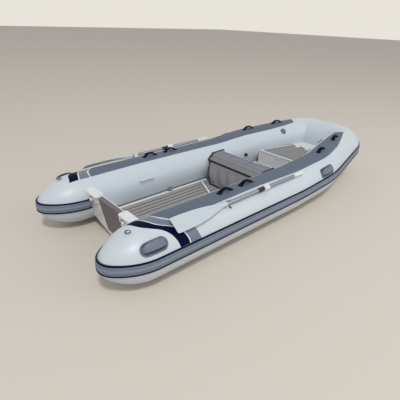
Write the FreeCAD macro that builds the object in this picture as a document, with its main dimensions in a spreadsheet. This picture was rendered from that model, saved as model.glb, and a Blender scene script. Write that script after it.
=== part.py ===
import FreeCAD, Part
import math
import os

import Sketcher
from FreeCAD import Placement, Rotation, Vector

# Rigid-hulled inflatable tender, 3.9 m long: air tubes with bullet ends round a V-bottomed hull.
# X runs from the stern to the bow, Y to port and Z up. The origin is on the ground under the
# middle of the boat. Lengths are millimetres, and every x below is measured from the tubes' stern tips.

doc = FreeCAD.newDocument("inflatable_tender")
sheet = doc.addObject("Spreadsheet::Sheet", "Sizes")

# Driving sizes
# columns: name, value, what it measures
SIZES = (
    ("tube_radius", 220, "air tube, outside radius"),
    ("tube_spread", 540, "tube centreline to the boat's middle"),
    ("tube_height", 250, "tube centreline above the ground at the stern"),
    ("cone_length", 350, "bullet end, tip to full diameter"),
    ("cone_nose", 130, "radius of the bullet end's nose"),
    ("flat_run", 2000, "stern tip to where the tubes start to rise"),
    ("sheer_radius", 2000, "bend that lifts the tubes towards the bow"),
    ("sheer_angle", 4, "rise of the tubes towards the bow, degrees"),
    ("fore_run", 340, "straight tube between the rise and the inward bend"),
    ("kink_radius", 1200, "gentle inward bend"),
    ("kink_angle", 12.5, "inward bend, degrees"),
    ("taper_run", 727, "straight tube between the inward bend and the bow corner"),
    ("corner_radius", 225, "bow corner, centreline radius"),
    ("strake_low", -8, "rubbing strake, lower edge round the tube, degrees"),
    ("strake_high", 15, "rubbing strake, upper edge round the tube, degrees"),
    ("strake_thick", 9, "rubbing strake, thickness"),
    ("strake_root", 34, "depth of the strake's blank behind the tube's skin"),
    ("patch_low", 64, "wear patch, outboard edge round the tube, degrees"),
    ("patch_high", 114, "wear patch, inboard edge round the tube, degrees"),
    ("patch_thick", 3, "wear patch, thickness"),
    ("patch_start", 466, "wear patch, aft end along the tube"),
    ("patch_stop", 38, "wear patch, forward tip before the bow corner"),
    ("patch_taper", 290, "wear patch, outboard taper before the tip"),
    ("patch_nip", 110, "wear patch, inboard taper before the tip"),
    ("rake", 7, "transom, lean aft, degrees"),
    ("transom_x", 386, "transom, aft face at its top edge"),
    ("transom_rise", 121, "transom, top edge above the tubes' centreline"),
    ("transom_thick", 36, "transom, thickness"),
    ("transom_half", 420, "transom blank, half width before it meets the tubes"),
    ("lip_thick", 12, "transom's forward lip, fore and aft"),
    ("lip_height", 26, "transom's forward lip, height"),
    ("pad_top_half", 168, "engine pad, half width at its top"),
    ("pad_low_half", 106, "engine pad, half width at its foot"),
    ("pad_height", 290, "engine pad, height below the transom's top"),
    ("pad_thick", 6, "engine pad, thickness"),
    ("knee_start", 178, "corner brackets, inboard end from the middle"),
    ("knee_width", 82, "corner brackets, fore and aft"),
    ("knee_thick", 13, "corner brackets, thickness of the top band"),
    ("knee_drop", 64, "corner brackets, depth of the aft face"),
    ("knee_knob", 16, "corner brackets, radius of the cleat's knob"),
    ("keel_half", 35, "flat keel, half width"),
    ("keel_thick", 6, "keel guard, thickness"),
    ("chine_half", 325, "bottom, half width at the chine"),
    ("chine_drop", 141, "bottom's chine below the tubes' centreline at the stern"),
    ("deck_drop", 125, "deck below the tubes' centreline"),
    ("deck_thick", 6, "deck panel, thickness"),
    ("mat_thick", 5, "floor mats, thickness"),
    ("mat_start", 650, "aft floor mat, aft edge"),
    ("mat_split", 1680, "aft floor mat, forward edge at the sides"),
    ("mat_arrow", 150, "depth of the arrow cut between the mats"),
    ("mat_half", 312, "floor mats, half width"),
    ("mat_joint", 16, "gap between the floor mats"),
    ("locker_length", 530, "bow locker, fore and aft"),
    ("locker_rise", 34, "bow locker, rim above the tubes' centreline at the stern"),
    ("locker_wall", 6, "bow locker, wall thickness"),
    ("locker_gap", 2, "bow locker, gap to the tubes"),
    ("lid_thick", 18, "locker lid, thickness"),
    ("lid_gap", 14, "locker lid, gap to the tubes"),
    ("lid_rim", 24, "lid's raised rim round its mat"),
    ("lid_recess", 3, "depth of the lid's recess for its mat"),
    ("hinge_rise", 8, "lid hinge pin above the lid's top"),
    ("hinge_half", 65, "lid hinges, each from the middle"),
    ("hinge_length", 60, "lid hinge, length of its barrel"),
    ("platform_thick", 8, "bow platform, thickness"),
    ("platform_depth", 212, "bow platform, from the locker to the bow tube"),
    ("seat_rise", 88, "seat board, underside above the tubes' centreline"),
    ("seat_board_thick", 14, "seat board, thickness"),
    ("seat_aft", 1830, "seat board, aft edge"),
    ("seat_depth", 230, "seat board, fore and aft"),
    ("cushion_thick", 54, "seat cushion, top above the seat board"),
    ("cushion_half", 380, "seat cushion, half width before the tubes trim its ends"),
    ("bag_foot_half", 190, "bag under the seat, half width at its foot"),
    ("cushion_gap", 4, "seat cushion, gap to the tubes"),
    ("oar_angle", 56, "oars' place round the tubes, degrees"),
    ("oar_lift", 30, "oar shaft's centreline above the tube's skin"),
    ("oar_radius", 16, "oar shaft, radius"),
    ("oar_overreach", 96, "stowed oar, forward end past the tubes' flat run"),
    ("oar_pivot_reach", 568, "oar, forward end to its pin"),
    ("oar_grip_length", 151, "oar grip, length"),
    ("oar_shaft_length", 905, "oar shaft between grip and blade, length"),
    ("blade_length", 508, "oar blade, length"),
    ("blade_half", 64, "oar blade, half width"),
    ("blade_thick", 7, "oar blade, thickness"),
    ("rowlock_pin", 6, "rowlock pin, radius"),
    ("eye_bore", 11, "lifting eyes, bore radius"),
    ("eye_plate", 8, "lifting eyes, plate thickness"),
)

for row, (name, value, meaning) in enumerate(SIZES, start=1):
    sheet.set("A%d" % row, meaning)
    sheet.set("B%d" % row, str(value))
    sheet.setAlias("B%d" % row, name)
doc.recompute()


def size(name):
    """The number in one named cell of the sheet."""
    return float(getattr(sheet, name))


TUBE_R = size("tube_radius")
SPREAD = size("tube_spread")
DECK_TOP = size("tube_height") - size("deck_drop")
DECK_LOW = DECK_TOP - size("deck_thick")
LOCKER_TOP = size("tube_height") + size("locker_rise")
LID_TOP = LOCKER_TOP + size("lid_thick")
TRANSOM_Z = size("tube_height") + size("transom_rise")
SEAT_LOW = size("tube_height") + size("seat_rise")

# Small clearances
SEAT_GAP = 0.3
RUNNING_GAP = 0.05

SUBPARTS = []


# Frames and runs along the tubes
class Frame:
    """A point on a path with its forward, outward and upward directions."""

    def __init__(self, pos, along, out, up):
        self.pos, self.along, self.out, self.up = pos, along, out, up

    def point(self, outward, upward):
        return self.pos + self.out * outward + self.up * upward

    def round_point(self, radius, degrees):
        angle = math.radians(degrees)
        return self.point(radius * math.cos(angle), radius * math.sin(angle))

    def moved(self, distance):
        return Frame(self.pos + self.along * distance, self.along, self.out, self.up)

    def turned(self, centre, axis, degrees):
        turn = Rotation(axis, degrees)
        return Frame(
            centre + turn.multVec(self.pos - centre),
            turn.multVec(self.along),
            turn.multVec(self.out),
            turn.multVec(self.up),
        )


class Run:
    """One straight or round stretch of a path."""

    def __init__(self, frame, length=0.0, centre=None, axis=None, angle=0.0):
        self.frame, self.length = frame, length
        self.centre, self.axis, self.angle = centre, axis, angle

    def reach(self):
        """Length of the stretch along the path itself."""
        if self.centre is None:
            return self.length
        return math.radians(self.angle) * (self.frame.pos - self.centre).Length

    def frame_at(self, distance):
        if self.centre is None:
            return self.frame.moved(distance)
        share = self.angle * distance / self.reach()
        return self.frame.turned(self.centre, self.axis, share)

    def cut(self, first, last):
        if self.centre is None:
            return Run(self.frame_at(first), length=last - first)
        angle = self.angle * (last - first) / self.reach()
        return Run(self.frame_at(first), centre=self.centre, axis=self.axis, angle=angle)

    def swept(self, face):
        if self.centre is None:
            return face.extrude(self.frame.along * self.length)
        return face.revolve(self.centre, self.axis, self.angle)


def straight(frame, length):
    return Run(frame, length=length)


def bend(frame, towards, radius, angle):
    """A stretch that turns towards a direction across the path."""
    return Run(frame, centre=frame.pos + towards * radius, axis=frame.along.cross(towards), angle=angle)


def end_of(run):
    return run.frame_at(run.reach())


def clip_runs(runs, begin, first, last):
    """The stretches between two distances, for a path whose first run begins at a distance."""
    kept = []
    for run in runs:
        low, high = max(first - begin, 0.0), min(last - begin, run.reach())
        if high - low > 0.001:
            kept.append(run.cut(low, high))
        begin += run.reach()
    return kept


def frame_on(runs, begin, distance):
    """The frame at a distance along a path."""
    for run in runs:
        if distance <= begin + run.reach():
            return run.frame_at(distance - begin)
        begin += run.reach()
    return end_of(runs[-1])


def joined(shapes):
    """One clean solid from shapes that share faces."""
    if len(shapes) == 1:
        return shapes[0]
    return shapes[0].multiFuse(shapes[1:]).removeSplitter()


def sweep(section, runs):
    """A section function, drawn at each run's frame and carried along all runs."""
    return joined([run.swept(section(run.frame)) for run in runs])


def face_of(edges):
    return Part.Face(Part.Wire(Part.__sortEdges__(edges)))


def arc(first, middle, last):
    return Part.Arc(first, middle, last).toShape()


def line(first, last):
    return Part.LineSegment(first, last).toShape()


def polygon(points):
    return Part.Face(Part.makePolygon(points + [points[0]]))


def disc_section(radius):
    return lambda frame: Part.Face(Part.Wire(Part.makeCircle(radius, frame.pos, frame.along)))


def band_section(inner, outer, low, high):
    """A slice of ring between two radii and two angles round the tube."""
    middle = (low + high) / 2

    def section(frame):
        p = frame.round_point
        return face_of([
            arc(p(inner, low), p(inner, middle), p(inner, high)),
            line(p(inner, high), p(outer, high)),
            arc(p(outer, high), p(outer, middle), p(outer, low)),
            line(p(outer, low), p(inner, low)),
        ])

    return section


# The tubes' centreline, port side
def side_runs():
    """From the end of the stern cone to the bow corner."""
    start = Vector(size("cone_length"), SPREAD, size("tube_height"))
    frame = Frame(start, Vector(1, 0, 0), Vector(0, 1, 0), Vector(0, 0, 1))
    runs = [straight(frame, size("flat_run") - size("cone_length"))]
    frame = end_of(runs[-1])
    runs.append(bend(frame, frame.up, size("sheer_radius"), size("sheer_angle")))
    runs.append(straight(end_of(runs[-1]), size("fore_run")))
    frame = end_of(runs[-1])
    runs.append(bend(frame, -frame.out, size("kink_radius"), size("kink_angle")))
    runs.append(straight(end_of(runs[-1]), size("taper_run")))
    return runs


def bow_runs(side):
    """From the bow corner to the boat's middle."""
    frame = end_of(side[-1])
    corner = bend(frame, -frame.out, size("corner_radius"), 90 - size("kink_angle"))
    frame = end_of(corner)
    return [corner, straight(frame, frame.pos.y)]


SIDE_RUNS = side_runs()
BOW_RUNS = bow_runs(SIDE_RUNS)
ALL_RUNS = SIDE_RUNS + BOW_RUNS
RUNS_BEGIN = size("cone_length")
BOW_FRAME = end_of(BOW_RUNS[-1])

# Half of the whole length, tube tip to bow, puts the origin under the middle
HALF_LENGTH = (BOW_FRAME.pos.x + TUBE_R) / 2

# Distances along the tube, from its stern tip, where the bends begin and end
KINK_START = RUNS_BEGIN + sum(run.reach() for run in SIDE_RUNS[:3])
KINK_END = RUNS_BEGIN + sum(run.reach() for run in SIDE_RUNS[:4])
CORNER = RUNS_BEGIN + sum(run.reach() for run in SIDE_RUNS)

# Places along the boat that follow the tubes
KINK_START_X = end_of(SIDE_RUNS[2]).pos.x
KINK_END_X = end_of(SIDE_RUNS[3]).pos.x
BOW_INNER = BOW_FRAME.pos.x - TUBE_R
LOCKER_END = BOW_INNER - size("platform_depth")
LOCKER_START = LOCKER_END - size("locker_length")
HINGE_X = LOCKER_END - size("locker_wall") / 2


def tube_frame(distance):
    """The port tube's frame at a distance from the stern tip along it."""
    return frame_on(ALL_RUNS, RUNS_BEGIN, distance)


def centre_at(x):
    """The port tube's centreline at one x on its side runs: half width, height and 1/cos of its yaw."""
    low, high = RUNS_BEGIN, RUNS_BEGIN + sum(run.reach() for run in SIDE_RUNS)
    for step in range(40):
        middle = (low + high) / 2
        if tube_frame(middle).pos.x < x:
            low = middle
        else:
            high = middle
    frame = tube_frame(low)
    return frame.pos.y, frame.pos.z, math.hypot(frame.along.x, frame.along.y) / frame.along.x


def inner_half(x, z, clearance=0.0):
    """Free half width between the tubes at one x and height."""
    half, height, skew = centre_at(x)
    reach = TUBE_R + clearance
    return half - math.sqrt(max(reach ** 2 - (z - height) ** 2, 0.0)) * skew


# Placing and keeping
def aboard(x, y, z, rotation=Rotation()):
    """A placement whose x is measured from the stern tips."""
    return Placement(Vector(x - HALF_LENGTH, y, z), rotation)


def keep(thing, label):
    """Name a finished sub-part and list it for export."""
    thing.Label = label
    SUBPARTS.append(thing)
    return thing


def feature(name, shape):
    """A shape made in the stern-tip frame, as an object of the document."""
    thing = doc.addObject("Part::Feature", name)
    thing.Shape = shape
    thing.Placement = aboard(0, 0, 0)
    return thing


def mirrored(source, label):
    """The starboard twin of a port sub-part."""
    twin = doc.addObject("Part::Mirroring", label)
    twin.Source = source
    twin.Base = Vector(0, 0, 0)
    twin.Normal = Vector(0, 1, 0)
    return keep(twin, label)


def both_sides(source, label):
    """One sub-part that holds a port fitting and its starboard twin."""
    twin = doc.addObject("Part::Mirroring", label + "_twin")
    twin.Source = source
    twin.Base = Vector(0, 0, 0)
    twin.Normal = Vector(0, 1, 0)
    pair = doc.addObject("Part::Compound", label)
    pair.Links = [source, twin]
    return keep(pair, label)


def bound(thing, **cells):
    """Bind an object's properties to expressions of the sheet's cells."""
    for prop, expression in cells.items():
        thing.setExpression(prop, expression)
    return thing


def cut_by(base, tool, label):
    """A sub-part trimmed by the tubes or another tool."""
    thing = doc.addObject("Part::Cut", label)
    thing.Base, thing.Tool = base, tool
    return keep(thing, label)


def plane_of(body, role):
    return next(item for item in body.Origin.OriginFeatures if item.Role == role)


def outline_pad(name, role, corners, depth):
    """A body padded from an outline whose corners are pairs of sheet expressions."""
    body = doc.addObject("PartDesign::Body", name)
    sketch = body.newObject("Sketcher::SketchObject", name + "_outline")
    draw_outline(sketch, body, role, corners)
    pad = body.newObject("PartDesign::Pad", name + "_pad")
    pad.Profile = sketch
    pad.setExpression("Length", depth)
    body.Tip = pad
    return body


def draw_outline(sketch, body, role, corners):
    """Lines between corners that follow the sheet, on one of the body's own planes."""
    sketch.AttachmentSupport = [(plane_of(body, role), "")]
    sketch.MapMode = "FlatFace"
    values = [tuple(number(item) for item in corner) for corner in corners]
    points = [Vector(a, b, 0) for a, b in values]
    count = len(points)
    for i in range(count):
        sketch.addGeometry(Part.LineSegment(points[i], points[(i + 1) % count]), False)
    for i in range(count):
        sketch.addConstraint(Sketcher.Constraint("Coincident", i, 2, (i + 1) % count, 1))
    for i, corner in enumerate(corners):
        for kind, item, value in zip(("DistanceX", "DistanceY"), corner, values[i]):
            place = sketch.addConstraint(Sketcher.Constraint(kind, -1, 1, i, 1, value))
            sketch.setExpression("Constraints[%d]" % place, item)


def outline_pocket(body, name, role, corners):
    """A cut right through a body, from an outline whose corners are pairs of sheet expressions."""
    sketch = body.newObject("Sketcher::SketchObject", name + "_outline")
    draw_outline(sketch, body, role, corners)
    pocket = body.newObject("PartDesign::Pocket", name)
    pocket.Profile = sketch
    pocket.Type = "ThroughAll"
    pocket.Midplane = True
    body.Tip = pocket
    return body


def number(expression):
    """The value of a short expression of sheet cells, for a sketch's first guess."""
    names = {row[0]: size(row[0]) for row in SIZES}
    total, sign = 0.0, 1.0
    for word in expression.replace("-", " - ").replace("+", " + ").split():
        if word in "+-":
            sign = -1.0 if word == "-" else 1.0
            continue
        factor = 1.0
        for item in word.split("*"):
            factor *= names[item.split(".")[1]] if item.startswith("Sizes.") else float(item)
        total += sign * factor
        sign = 1.0
    return total


# Air tubes
def shoulder_radius():
    """The large arc of the bullet end, tangent to the nose and to the tube."""
    nose = size("cone_nose")
    run = size("cone_length") - nose
    return (run ** 2 + TUBE_R ** 2 - nose ** 2) / (2 * (TUBE_R - nose))


def cone_turns():
    """Angles that the shoulder arc and half of the nose turn through."""
    nose, shoulder = size("cone_nose"), shoulder_radius()
    meet = math.degrees(math.atan2(shoulder - TUBE_R, nose - size("cone_length")))
    return meet - 90, 180 - meet


def bullet_end(grow=0.0):
    """The port tube's stern cone, turned about the tube's centreline."""
    length, nose, shoulder = size("cone_length"), size("cone_nose"), shoulder_radius()
    shoulder_turn, nose_turn = cone_turns()

    def at(x, height):
        return Vector(x, SPREAD, size("tube_height") + height)

    def round_at(x, height, radius, degrees):
        angle = math.radians(degrees)
        return at(x + radius * math.cos(angle), height + radius * math.sin(angle))

    drop = TUBE_R - shoulder
    meet = 90 + shoulder_turn
    nose_r, shoulder_r = nose + grow, shoulder + grow
    tip = round_at(nose, 0, nose_r, 180)
    join = round_at(nose, 0, nose_r, meet)
    top = round_at(length, drop, shoulder_r, 90)
    profile = face_of([
        arc(tip, round_at(nose, 0, nose_r, meet + nose_turn / 2), join),
        arc(join, round_at(length, drop, shoulder_r, 90 + shoulder_turn / 2), top),
        line(top, at(length, 0)),
        line(at(length, 0), tip),
    ])
    return profile.revolve(at(0, 0), Vector(1, 0, 0), 360)


def side_tube_shape(grow=0.0):
    return joined([bullet_end(grow), sweep(disc_section(TUBE_R + grow), SIDE_RUNS)])


def bow_tube_shape(grow=0.0):
    half = sweep(disc_section(TUBE_R + grow), BOW_RUNS)
    return joined([half, half.mirror(Vector(0, 0, 0), Vector(0, 1, 0))])


SIDE_TUBE = side_tube_shape()
BOW_TUBE = bow_tube_shape()
port_tube = keep(feature("PortTube", SIDE_TUBE), "port_tube")
starboard_tube = mirrored(port_tube, "starboard_tube")
bow_tube = keep(feature("BowTube", BOW_TUBE), "bow_tube")

tube_tool = doc.addObject("Part::Compound", "TubeTool")
tube_tool.Links = [port_tube, starboard_tube, bow_tube]


def soft_clearance_tool():
    """The three tubes grown by the cushion's gap."""
    grow = size("cushion_gap")
    port = side_tube_shape(grow)
    shapes = [port, port.mirror(Vector(0, 0, 0), Vector(0, 1, 0))]
    return feature("SoftTool", Part.makeCompound(shapes))


# Rubbing strake
def strake_section(frame):
    """The strake's profile, its root inside the tube."""
    low, high = size("strake_low"), size("strake_high")
    outer = TUBE_R + size("strake_thick")
    root = TUBE_R - size("strake_root")
    foot, head = frame.round_point(outer, low), frame.round_point(outer, high)
    low_z = outer * math.sin(math.radians(low))
    high_z = outer * math.sin(math.radians(high))
    return face_of([
        arc(foot, frame.round_point(outer, (low + high) / 2), head),
        line(head, frame.point(root, high_z)),
        line(frame.point(root, high_z), frame.point(root, low_z)),
        line(frame.point(root, low_z), foot),
    ])


def stern_wrap_runs():
    """From the transom aft along the tube's inner side, round the cone and back to its outer side."""
    length = size("cone_length")
    shoulder = shoulder_radius() - TUBE_R
    shoulder_turn, nose_turn = cone_turns()
    height = size("tube_height")
    stop = size("transom_x")
    up = Vector(0, 0, 1)
    frame = Frame(Vector(stop, SPREAD, height), Vector(-1, 0, 0), Vector(0, -1, 0), up)
    runs = [straight(frame, stop - length)]
    frame = end_of(runs[-1])
    turn_axis = frame.along.cross(-frame.out)
    runs.append(Run(frame, centre=frame.pos - frame.out * shoulder, axis=turn_axis, angle=shoulder_turn))
    frame = end_of(runs[-1])
    nose_centre = Vector(size("cone_nose"), SPREAD, height)
    runs.append(Run(frame, centre=nose_centre, axis=turn_axis, angle=2 * nose_turn))
    frame = end_of(runs[-1])
    centre = Vector(length, SPREAD - shoulder, height)
    runs.append(Run(frame, centre=centre, axis=turn_axis, angle=shoulder_turn))
    return runs


strake_blank = sweep(strake_section, stern_wrap_runs() + ALL_RUNS)
strake = feature("PortStrake", strake_blank.cut([SIDE_TUBE, BOW_TUBE]))
mirrored(keep(strake, "rub_strake_port"), "rub_strake_starboard")


# Carrying handles of webbing on the wear patches
# distance along the tube of each handle's middle
HANDLE_PLACES = (1165, 1425, KINK_END - 56, KINK_END + 409)
HANDLE = dict(reach=62, rise=40, band=8, width=36, foot=52, foot_thick=4, foot_angle=7)


def handle_shape(distance):
    """A moulded loop standing on two wing-shaped feet that follow the tube."""
    frame = tube_frame(distance)
    base = TUBE_R + size("patch_thick")
    reach, rise, band = HANDLE["reach"], HANDLE["rise"], HANDLE["band"]
    half, low = HANDLE["width"] / 2, HANDLE["foot_thick"] / 2
    inner = reach - band * 1.6

    def at(along, up, out=-half):
        return frame.pos + frame.along * along + frame.up * (base + up) + frame.out * out

    loop = face_of([
        arc(at(-reach, low), at(0, rise), at(reach, low)),
        line(at(reach, low), at(inner, low)),
        arc(at(inner, low), at(0, rise - band), at(-inner, low)),
        line(at(-inner, low), at(-reach, low)),
    ]).extrude(frame.out * (2 * half))
    turn = HANDLE["foot_angle"]
    section = band_section(base, base + HANDLE["foot_thick"], 90 - turn, 90 + turn)
    foot_start = reach - HANDLE["foot"] * 0.36
    feet = []
    for first in (distance - foot_start - HANDLE["foot"], distance + foot_start):
        runs = clip_runs(ALL_RUNS, RUNS_BEGIN, first, first + HANDLE["foot"])
        feet.append(sweep(section, runs))
    return joined([loop] + feet)


handles = feature("PortHandles", Part.makeCompound([handle_shape(place) for place in HANDLE_PLACES]))
both_sides(handles, "carry_handles")

# Moulded grips on the tubes' outer sides
# columns: node, distance along the tube, degrees round the tube
GRIPS = (
    ("stern_grip", 330, 36),
    ("bow_grip", KINK_START + 10, 31),
)
GRIP = dict(length=190, width=112, thick=7, bar_length=130, bar_width=26, bar_rise=38, bar_thick=8)


def grip_shape(distance, degrees):
    """An oval plate that follows the tube, with a bar to hold."""
    if distance < size("cone_length"):
        flat = tube_frame(size("cone_length"))
        frame = flat.moved(distance - size("cone_length"))
        grown = side_tube_shape(GRIP["thick"])
    else:
        frame = tube_frame(distance)
        grown = sweep(disc_section(TUBE_R + GRIP["thick"]), clip_runs(
            SIDE_RUNS, RUNS_BEGIN, distance - GRIP["length"], distance + GRIP["length"]))
    angle = math.radians(degrees)
    normal = frame.out * math.cos(angle) + frame.up * math.sin(angle)
    across = frame.up * math.cos(angle) - frame.out * math.sin(angle)
    along = frame.along

    def at(a, b, n):
        return frame.pos + along * a + across * b + normal * n

    half_width = GRIP["width"] / 2
    half_flat = GRIP["length"] / 2 - half_width
    deep = TUBE_R - 60
    oval = face_of([
        line(at(-half_flat, -half_width, deep), at(half_flat, -half_width, deep)),
        arc(at(half_flat, -half_width, deep), at(half_flat + half_width, 0, deep), at(half_flat, half_width, deep)),
        line(at(half_flat, half_width, deep), at(-half_flat, half_width, deep)),
        arc(at(-half_flat, half_width, deep), at(-half_flat - half_width, 0, deep),
            at(-half_flat, -half_width, deep)),
    ]).extrude(normal * 120)
    plate = oval.common(grown).cut(SIDE_TUBE)
    reach, rise, thick = GRIP["bar_length"] / 2, GRIP["bar_rise"], GRIP["bar_thick"]
    half_bar = GRIP["bar_width"] / 2
    foot = TUBE_R - 12
    top = TUBE_R + rise
    bar = face_of([
        line(at(-reach, -half_bar, foot), at(-reach, -half_bar, TUBE_R + 8)),
        arc(at(-reach, -half_bar, TUBE_R + 8), at(0, -half_bar, top), at(reach, -half_bar, TUBE_R + 8)),
        line(at(reach, -half_bar, TUBE_R + 8), at(reach, -half_bar, foot)),
        line(at(reach, -half_bar, foot), at(reach - thick * 2, -half_bar, foot)),
        line(at(reach - thick * 2, -half_bar, foot), at(reach - thick * 2, -half_bar, TUBE_R + 6)),
        arc(at(reach - thick * 2, -half_bar, TUBE_R + 6), at(0, -half_bar, top - thick),
            at(thick * 2 - reach, -half_bar, TUBE_R + 6)),
        line(at(thick * 2 - reach, -half_bar, TUBE_R + 6), at(thick * 2 - reach, -half_bar, foot)),
        line(at(thick * 2 - reach, -half_bar, foot), at(-reach, -half_bar, foot)),
    ]).extrude(across * (2 * half_bar)).cut(SIDE_TUBE)
    return joined([plate, bar])


for name, distance, degrees in GRIPS:
    both_sides(feature("Port_" + name, grip_shape(distance, degrees)), name + "s")


# Hull bottom
CHINE = size("chine_half")
KEEL = size("keel_half")
KEEL_Z = size("keel_thick")
CHINE_Z = size("tube_height") - size("chine_drop")
BOW_BLOCK_START = LOCKER_END + 4
PLATFORM_LOW = LID_TOP - size("platform_thick")
CORNER_HALF = end_of(SIDE_RUNS[-1]).pos.y
BLANK_EDGE = 2


def under_tube(x):
    """Half width of a blank that ends under the tube's centreline."""
    return centre_at(x)[0] - BLANK_EDGE


def hull_station(x, keel, keel_share, chine, chine_share, blank):
    """A row with its keel and chine heights given as shares of the deck's underside."""
    return x, keel, keel_share * DECK_LOW, chine, chine_share * DECK_LOW, blank


FLAT_KEEL = KEEL_Z / DECK_LOW
FLAT_CHINE = CHINE_Z / DECK_LOW

# columns: x, keel half width, keel height share, chine half width, chine height share, blank half width
HULL_STATIONS = (
    hull_station(size("cone_length") - 50, KEEL, FLAT_KEEL, CHINE, FLAT_CHINE, SPREAD),
    hull_station(size("flat_run"), KEEL, FLAT_KEEL, CHINE, FLAT_CHINE, SPREAD),
    hull_station(LOCKER_START - 60, KEEL, FLAT_KEEL, 1.08 * CHINE, 0.977, under_tube(LOCKER_START - 60)),
    hull_station(LOCKER_END - 190, 0.88 * KEEL, 0.084, 1.05 * CHINE, 0.977, under_tube(LOCKER_END - 190)),
    hull_station(BOW_BLOCK_START, 0.77 * KEEL, 0.235, 1.01 * CHINE, 0.983, under_tube(BOW_BLOCK_START)),
)
# columns as above, for the closed block under the bow platform
BOW_STATIONS = (
    HULL_STATIONS[-1],
    hull_station(BOW_INNER - 0.1 * TUBE_R, 0.68 * KEEL, 0.588, 0.88 * CHINE, 1.155, 0.975 * under_tube(BOW_INNER)),
    hull_station(BOW_INNER + 0.445 * TUBE_R, 0.63 * KEEL, 1.008, 0.54 * CHINE, 1.345, 0.66 * CORNER_HALF),
    hull_station(BOW_INNER + 0.855 * TUBE_R, 0.57 * KEEL, 1.387, 0.185 * CHINE, 1.513, 0.28 * CORNER_HALF),
)


def station_wire(station, top):
    x, keel_half, keel_z, chine, chine_z, blank = station
    half = [(keel_half, keel_z), (chine, chine_z), (blank, top)]
    loop = [(y, z) for y, z in half] + [(-y, z) for y, z in reversed(half)]
    points = [Vector(x, y, z) for y, z in loop]
    return Part.makePolygon(points + [points[0]])


def hull_shape():
    main = Part.makeLoft([station_wire(row, DECK_LOW) for row in HULL_STATIONS], True, True)
    bow = Part.makeLoft([station_wire(row, PLATFORM_LOW) for row in BOW_STATIONS], True, True)
    return main.fuse(bow)


BULK = 2 * SPREAD


def raked_block(front, length):
    """A large block whose forward or aft face is the transom's own plane."""
    block = Part.makeBox(length, 2 * BULK, 2 * BULK, Vector(0, -BULK, -BULK))
    block.rotate(Vector(0, 0, 0), Vector(0, 1, 0), -size("rake"))
    top = Vector(size("transom_x"), 0, TRANSOM_Z)
    normal = Rotation(Vector(0, 1, 0), -size("rake")).multVec(Vector(1, 0, 0))
    block.translate(top + normal * front)
    return block


BEHIND_TRANSOM = raked_block(size("transom_thick") - BULK, BULK)
hull_blank = feature("HullBlank", hull_shape().cut(BEHIND_TRANSOM))
cut_by(hull_blank, tube_tool, "hull_bottom")


def keel_shape():
    """A flat guard under the keel, from the transom up the stem."""
    wires = []
    rows = [row[:3] for row in HULL_STATIONS] + [row[:3] for row in BOW_STATIONS[1:]]
    for x, half, z in rows:
        low = z - size("keel_thick")
        points = [Vector(x, -half, low), Vector(x, half, low), Vector(x, half, z), Vector(x, -half, z)]
        wires.append(Part.makePolygon(points + [points[0]]))
    return Part.makeLoft(wires, True, True).cut(BEHIND_TRANSOM)


keel_blank = feature("KeelBlank", keel_shape())
cut_by(keel_blank, tube_tool, "keel_guard")


# Deck and mats
def deck_outline(x_low, x_high, clearance):
    """Plan points inside the tubes' centreline between two stations."""
    bends = (KINK_START_X, (KINK_START_X + KINK_END_X) / 2, KINK_END_X)
    stations = [x_low] + [x for x in bends if x_low < x < x_high] + [x_high]
    return [(x, centre_at(x)[0] - clearance) for x in stations]


def slab(outline, low, thick):
    port = [Vector(x, y, low) for x, y in outline]
    starboard = [Vector(x, -y, low) for x, y in reversed(outline)]
    return polygon(port + starboard).extrude(Vector(0, 0, thick))


deck = slab(deck_outline(size("cone_length"), BOW_BLOCK_START, 0), DECK_LOW, size("deck_thick"))
deck_blank = feature("DeckBlank", deck.cut(BEHIND_TRANSOM))
cut_by(deck_blank, tube_tool, "deck_floor")

arrow = "Sizes.mat_arrow"
outline_mat = [
    ("Sizes.mat_start", "-1*Sizes.mat_half"),
    ("Sizes.mat_split", "-1*Sizes.mat_half"),
    ("Sizes.mat_split - " + arrow, "0"),
    ("Sizes.mat_split", "Sizes.mat_half"),
    ("Sizes.mat_start", "Sizes.mat_half"),
]
aft_mat = outline_pad("AftMat", "XY_Plane", outline_mat, "Sizes.mat_thick")
aft_mat.Placement = aboard(0, 0, DECK_TOP)
keep(aft_mat, "floor_mat_aft")

fore_start = "Sizes.mat_split + Sizes.mat_joint"
fore_end = "%.3f - Sizes.mat_joint" % LOCKER_START
outline_mat = [
    (fore_start, "-1*Sizes.mat_half"),
    (fore_end, "-0.92*Sizes.mat_half"),
    (fore_end, "0.92*Sizes.mat_half"),
    (fore_start, "Sizes.mat_half"),
    (fore_start + " - " + arrow, "0"),
]
fore_mat = outline_pad("ForeMat", "XY_Plane", outline_mat, "Sizes.mat_thick")
fore_mat.Placement = aboard(0, 0, DECK_TOP)
keep(fore_mat, "floor_mat_forward")


# Transom
RAKE = Rotation(Vector(0, 1, 0), -size("rake"))
TRANSOM_TOP = Vector(size("transom_x"), 0, TRANSOM_Z)


def on_transom(depth, drop):
    """Placement on the transom's plane, a depth ahead of its aft face and a drop below its top."""
    pos = TRANSOM_TOP + RAKE.multVec(Vector(depth, 0, -drop))
    return aboard(pos.x, pos.y, pos.z, RAKE)


def transom_shape():
    """The V-bottomed plate and its forward lip, upright before it is raked."""
    upright = 1 / math.cos(math.radians(size("rake")))
    foot = -TRANSOM_Z * upright
    chine_z = (CHINE_Z - TRANSOM_Z) * upright
    wide, thick = size("transom_half"), size("transom_thick")
    half = [(KEEL, foot), (KEEL, foot + KEEL_Z), (CHINE, chine_z), (wide, chine_z), (wide, 0)]
    loop = half + [(-y, z) for y, z in reversed(half)]
    plate = polygon([Vector(0, y, z) for y, z in loop]).extrude(Vector(thick, 0, 0))
    lip = Part.makeBox(size("lip_thick"), 2 * wide, size("lip_height"), Vector(thick, -wide, -size("lip_height")))
    return joined([plate, lip])


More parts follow.
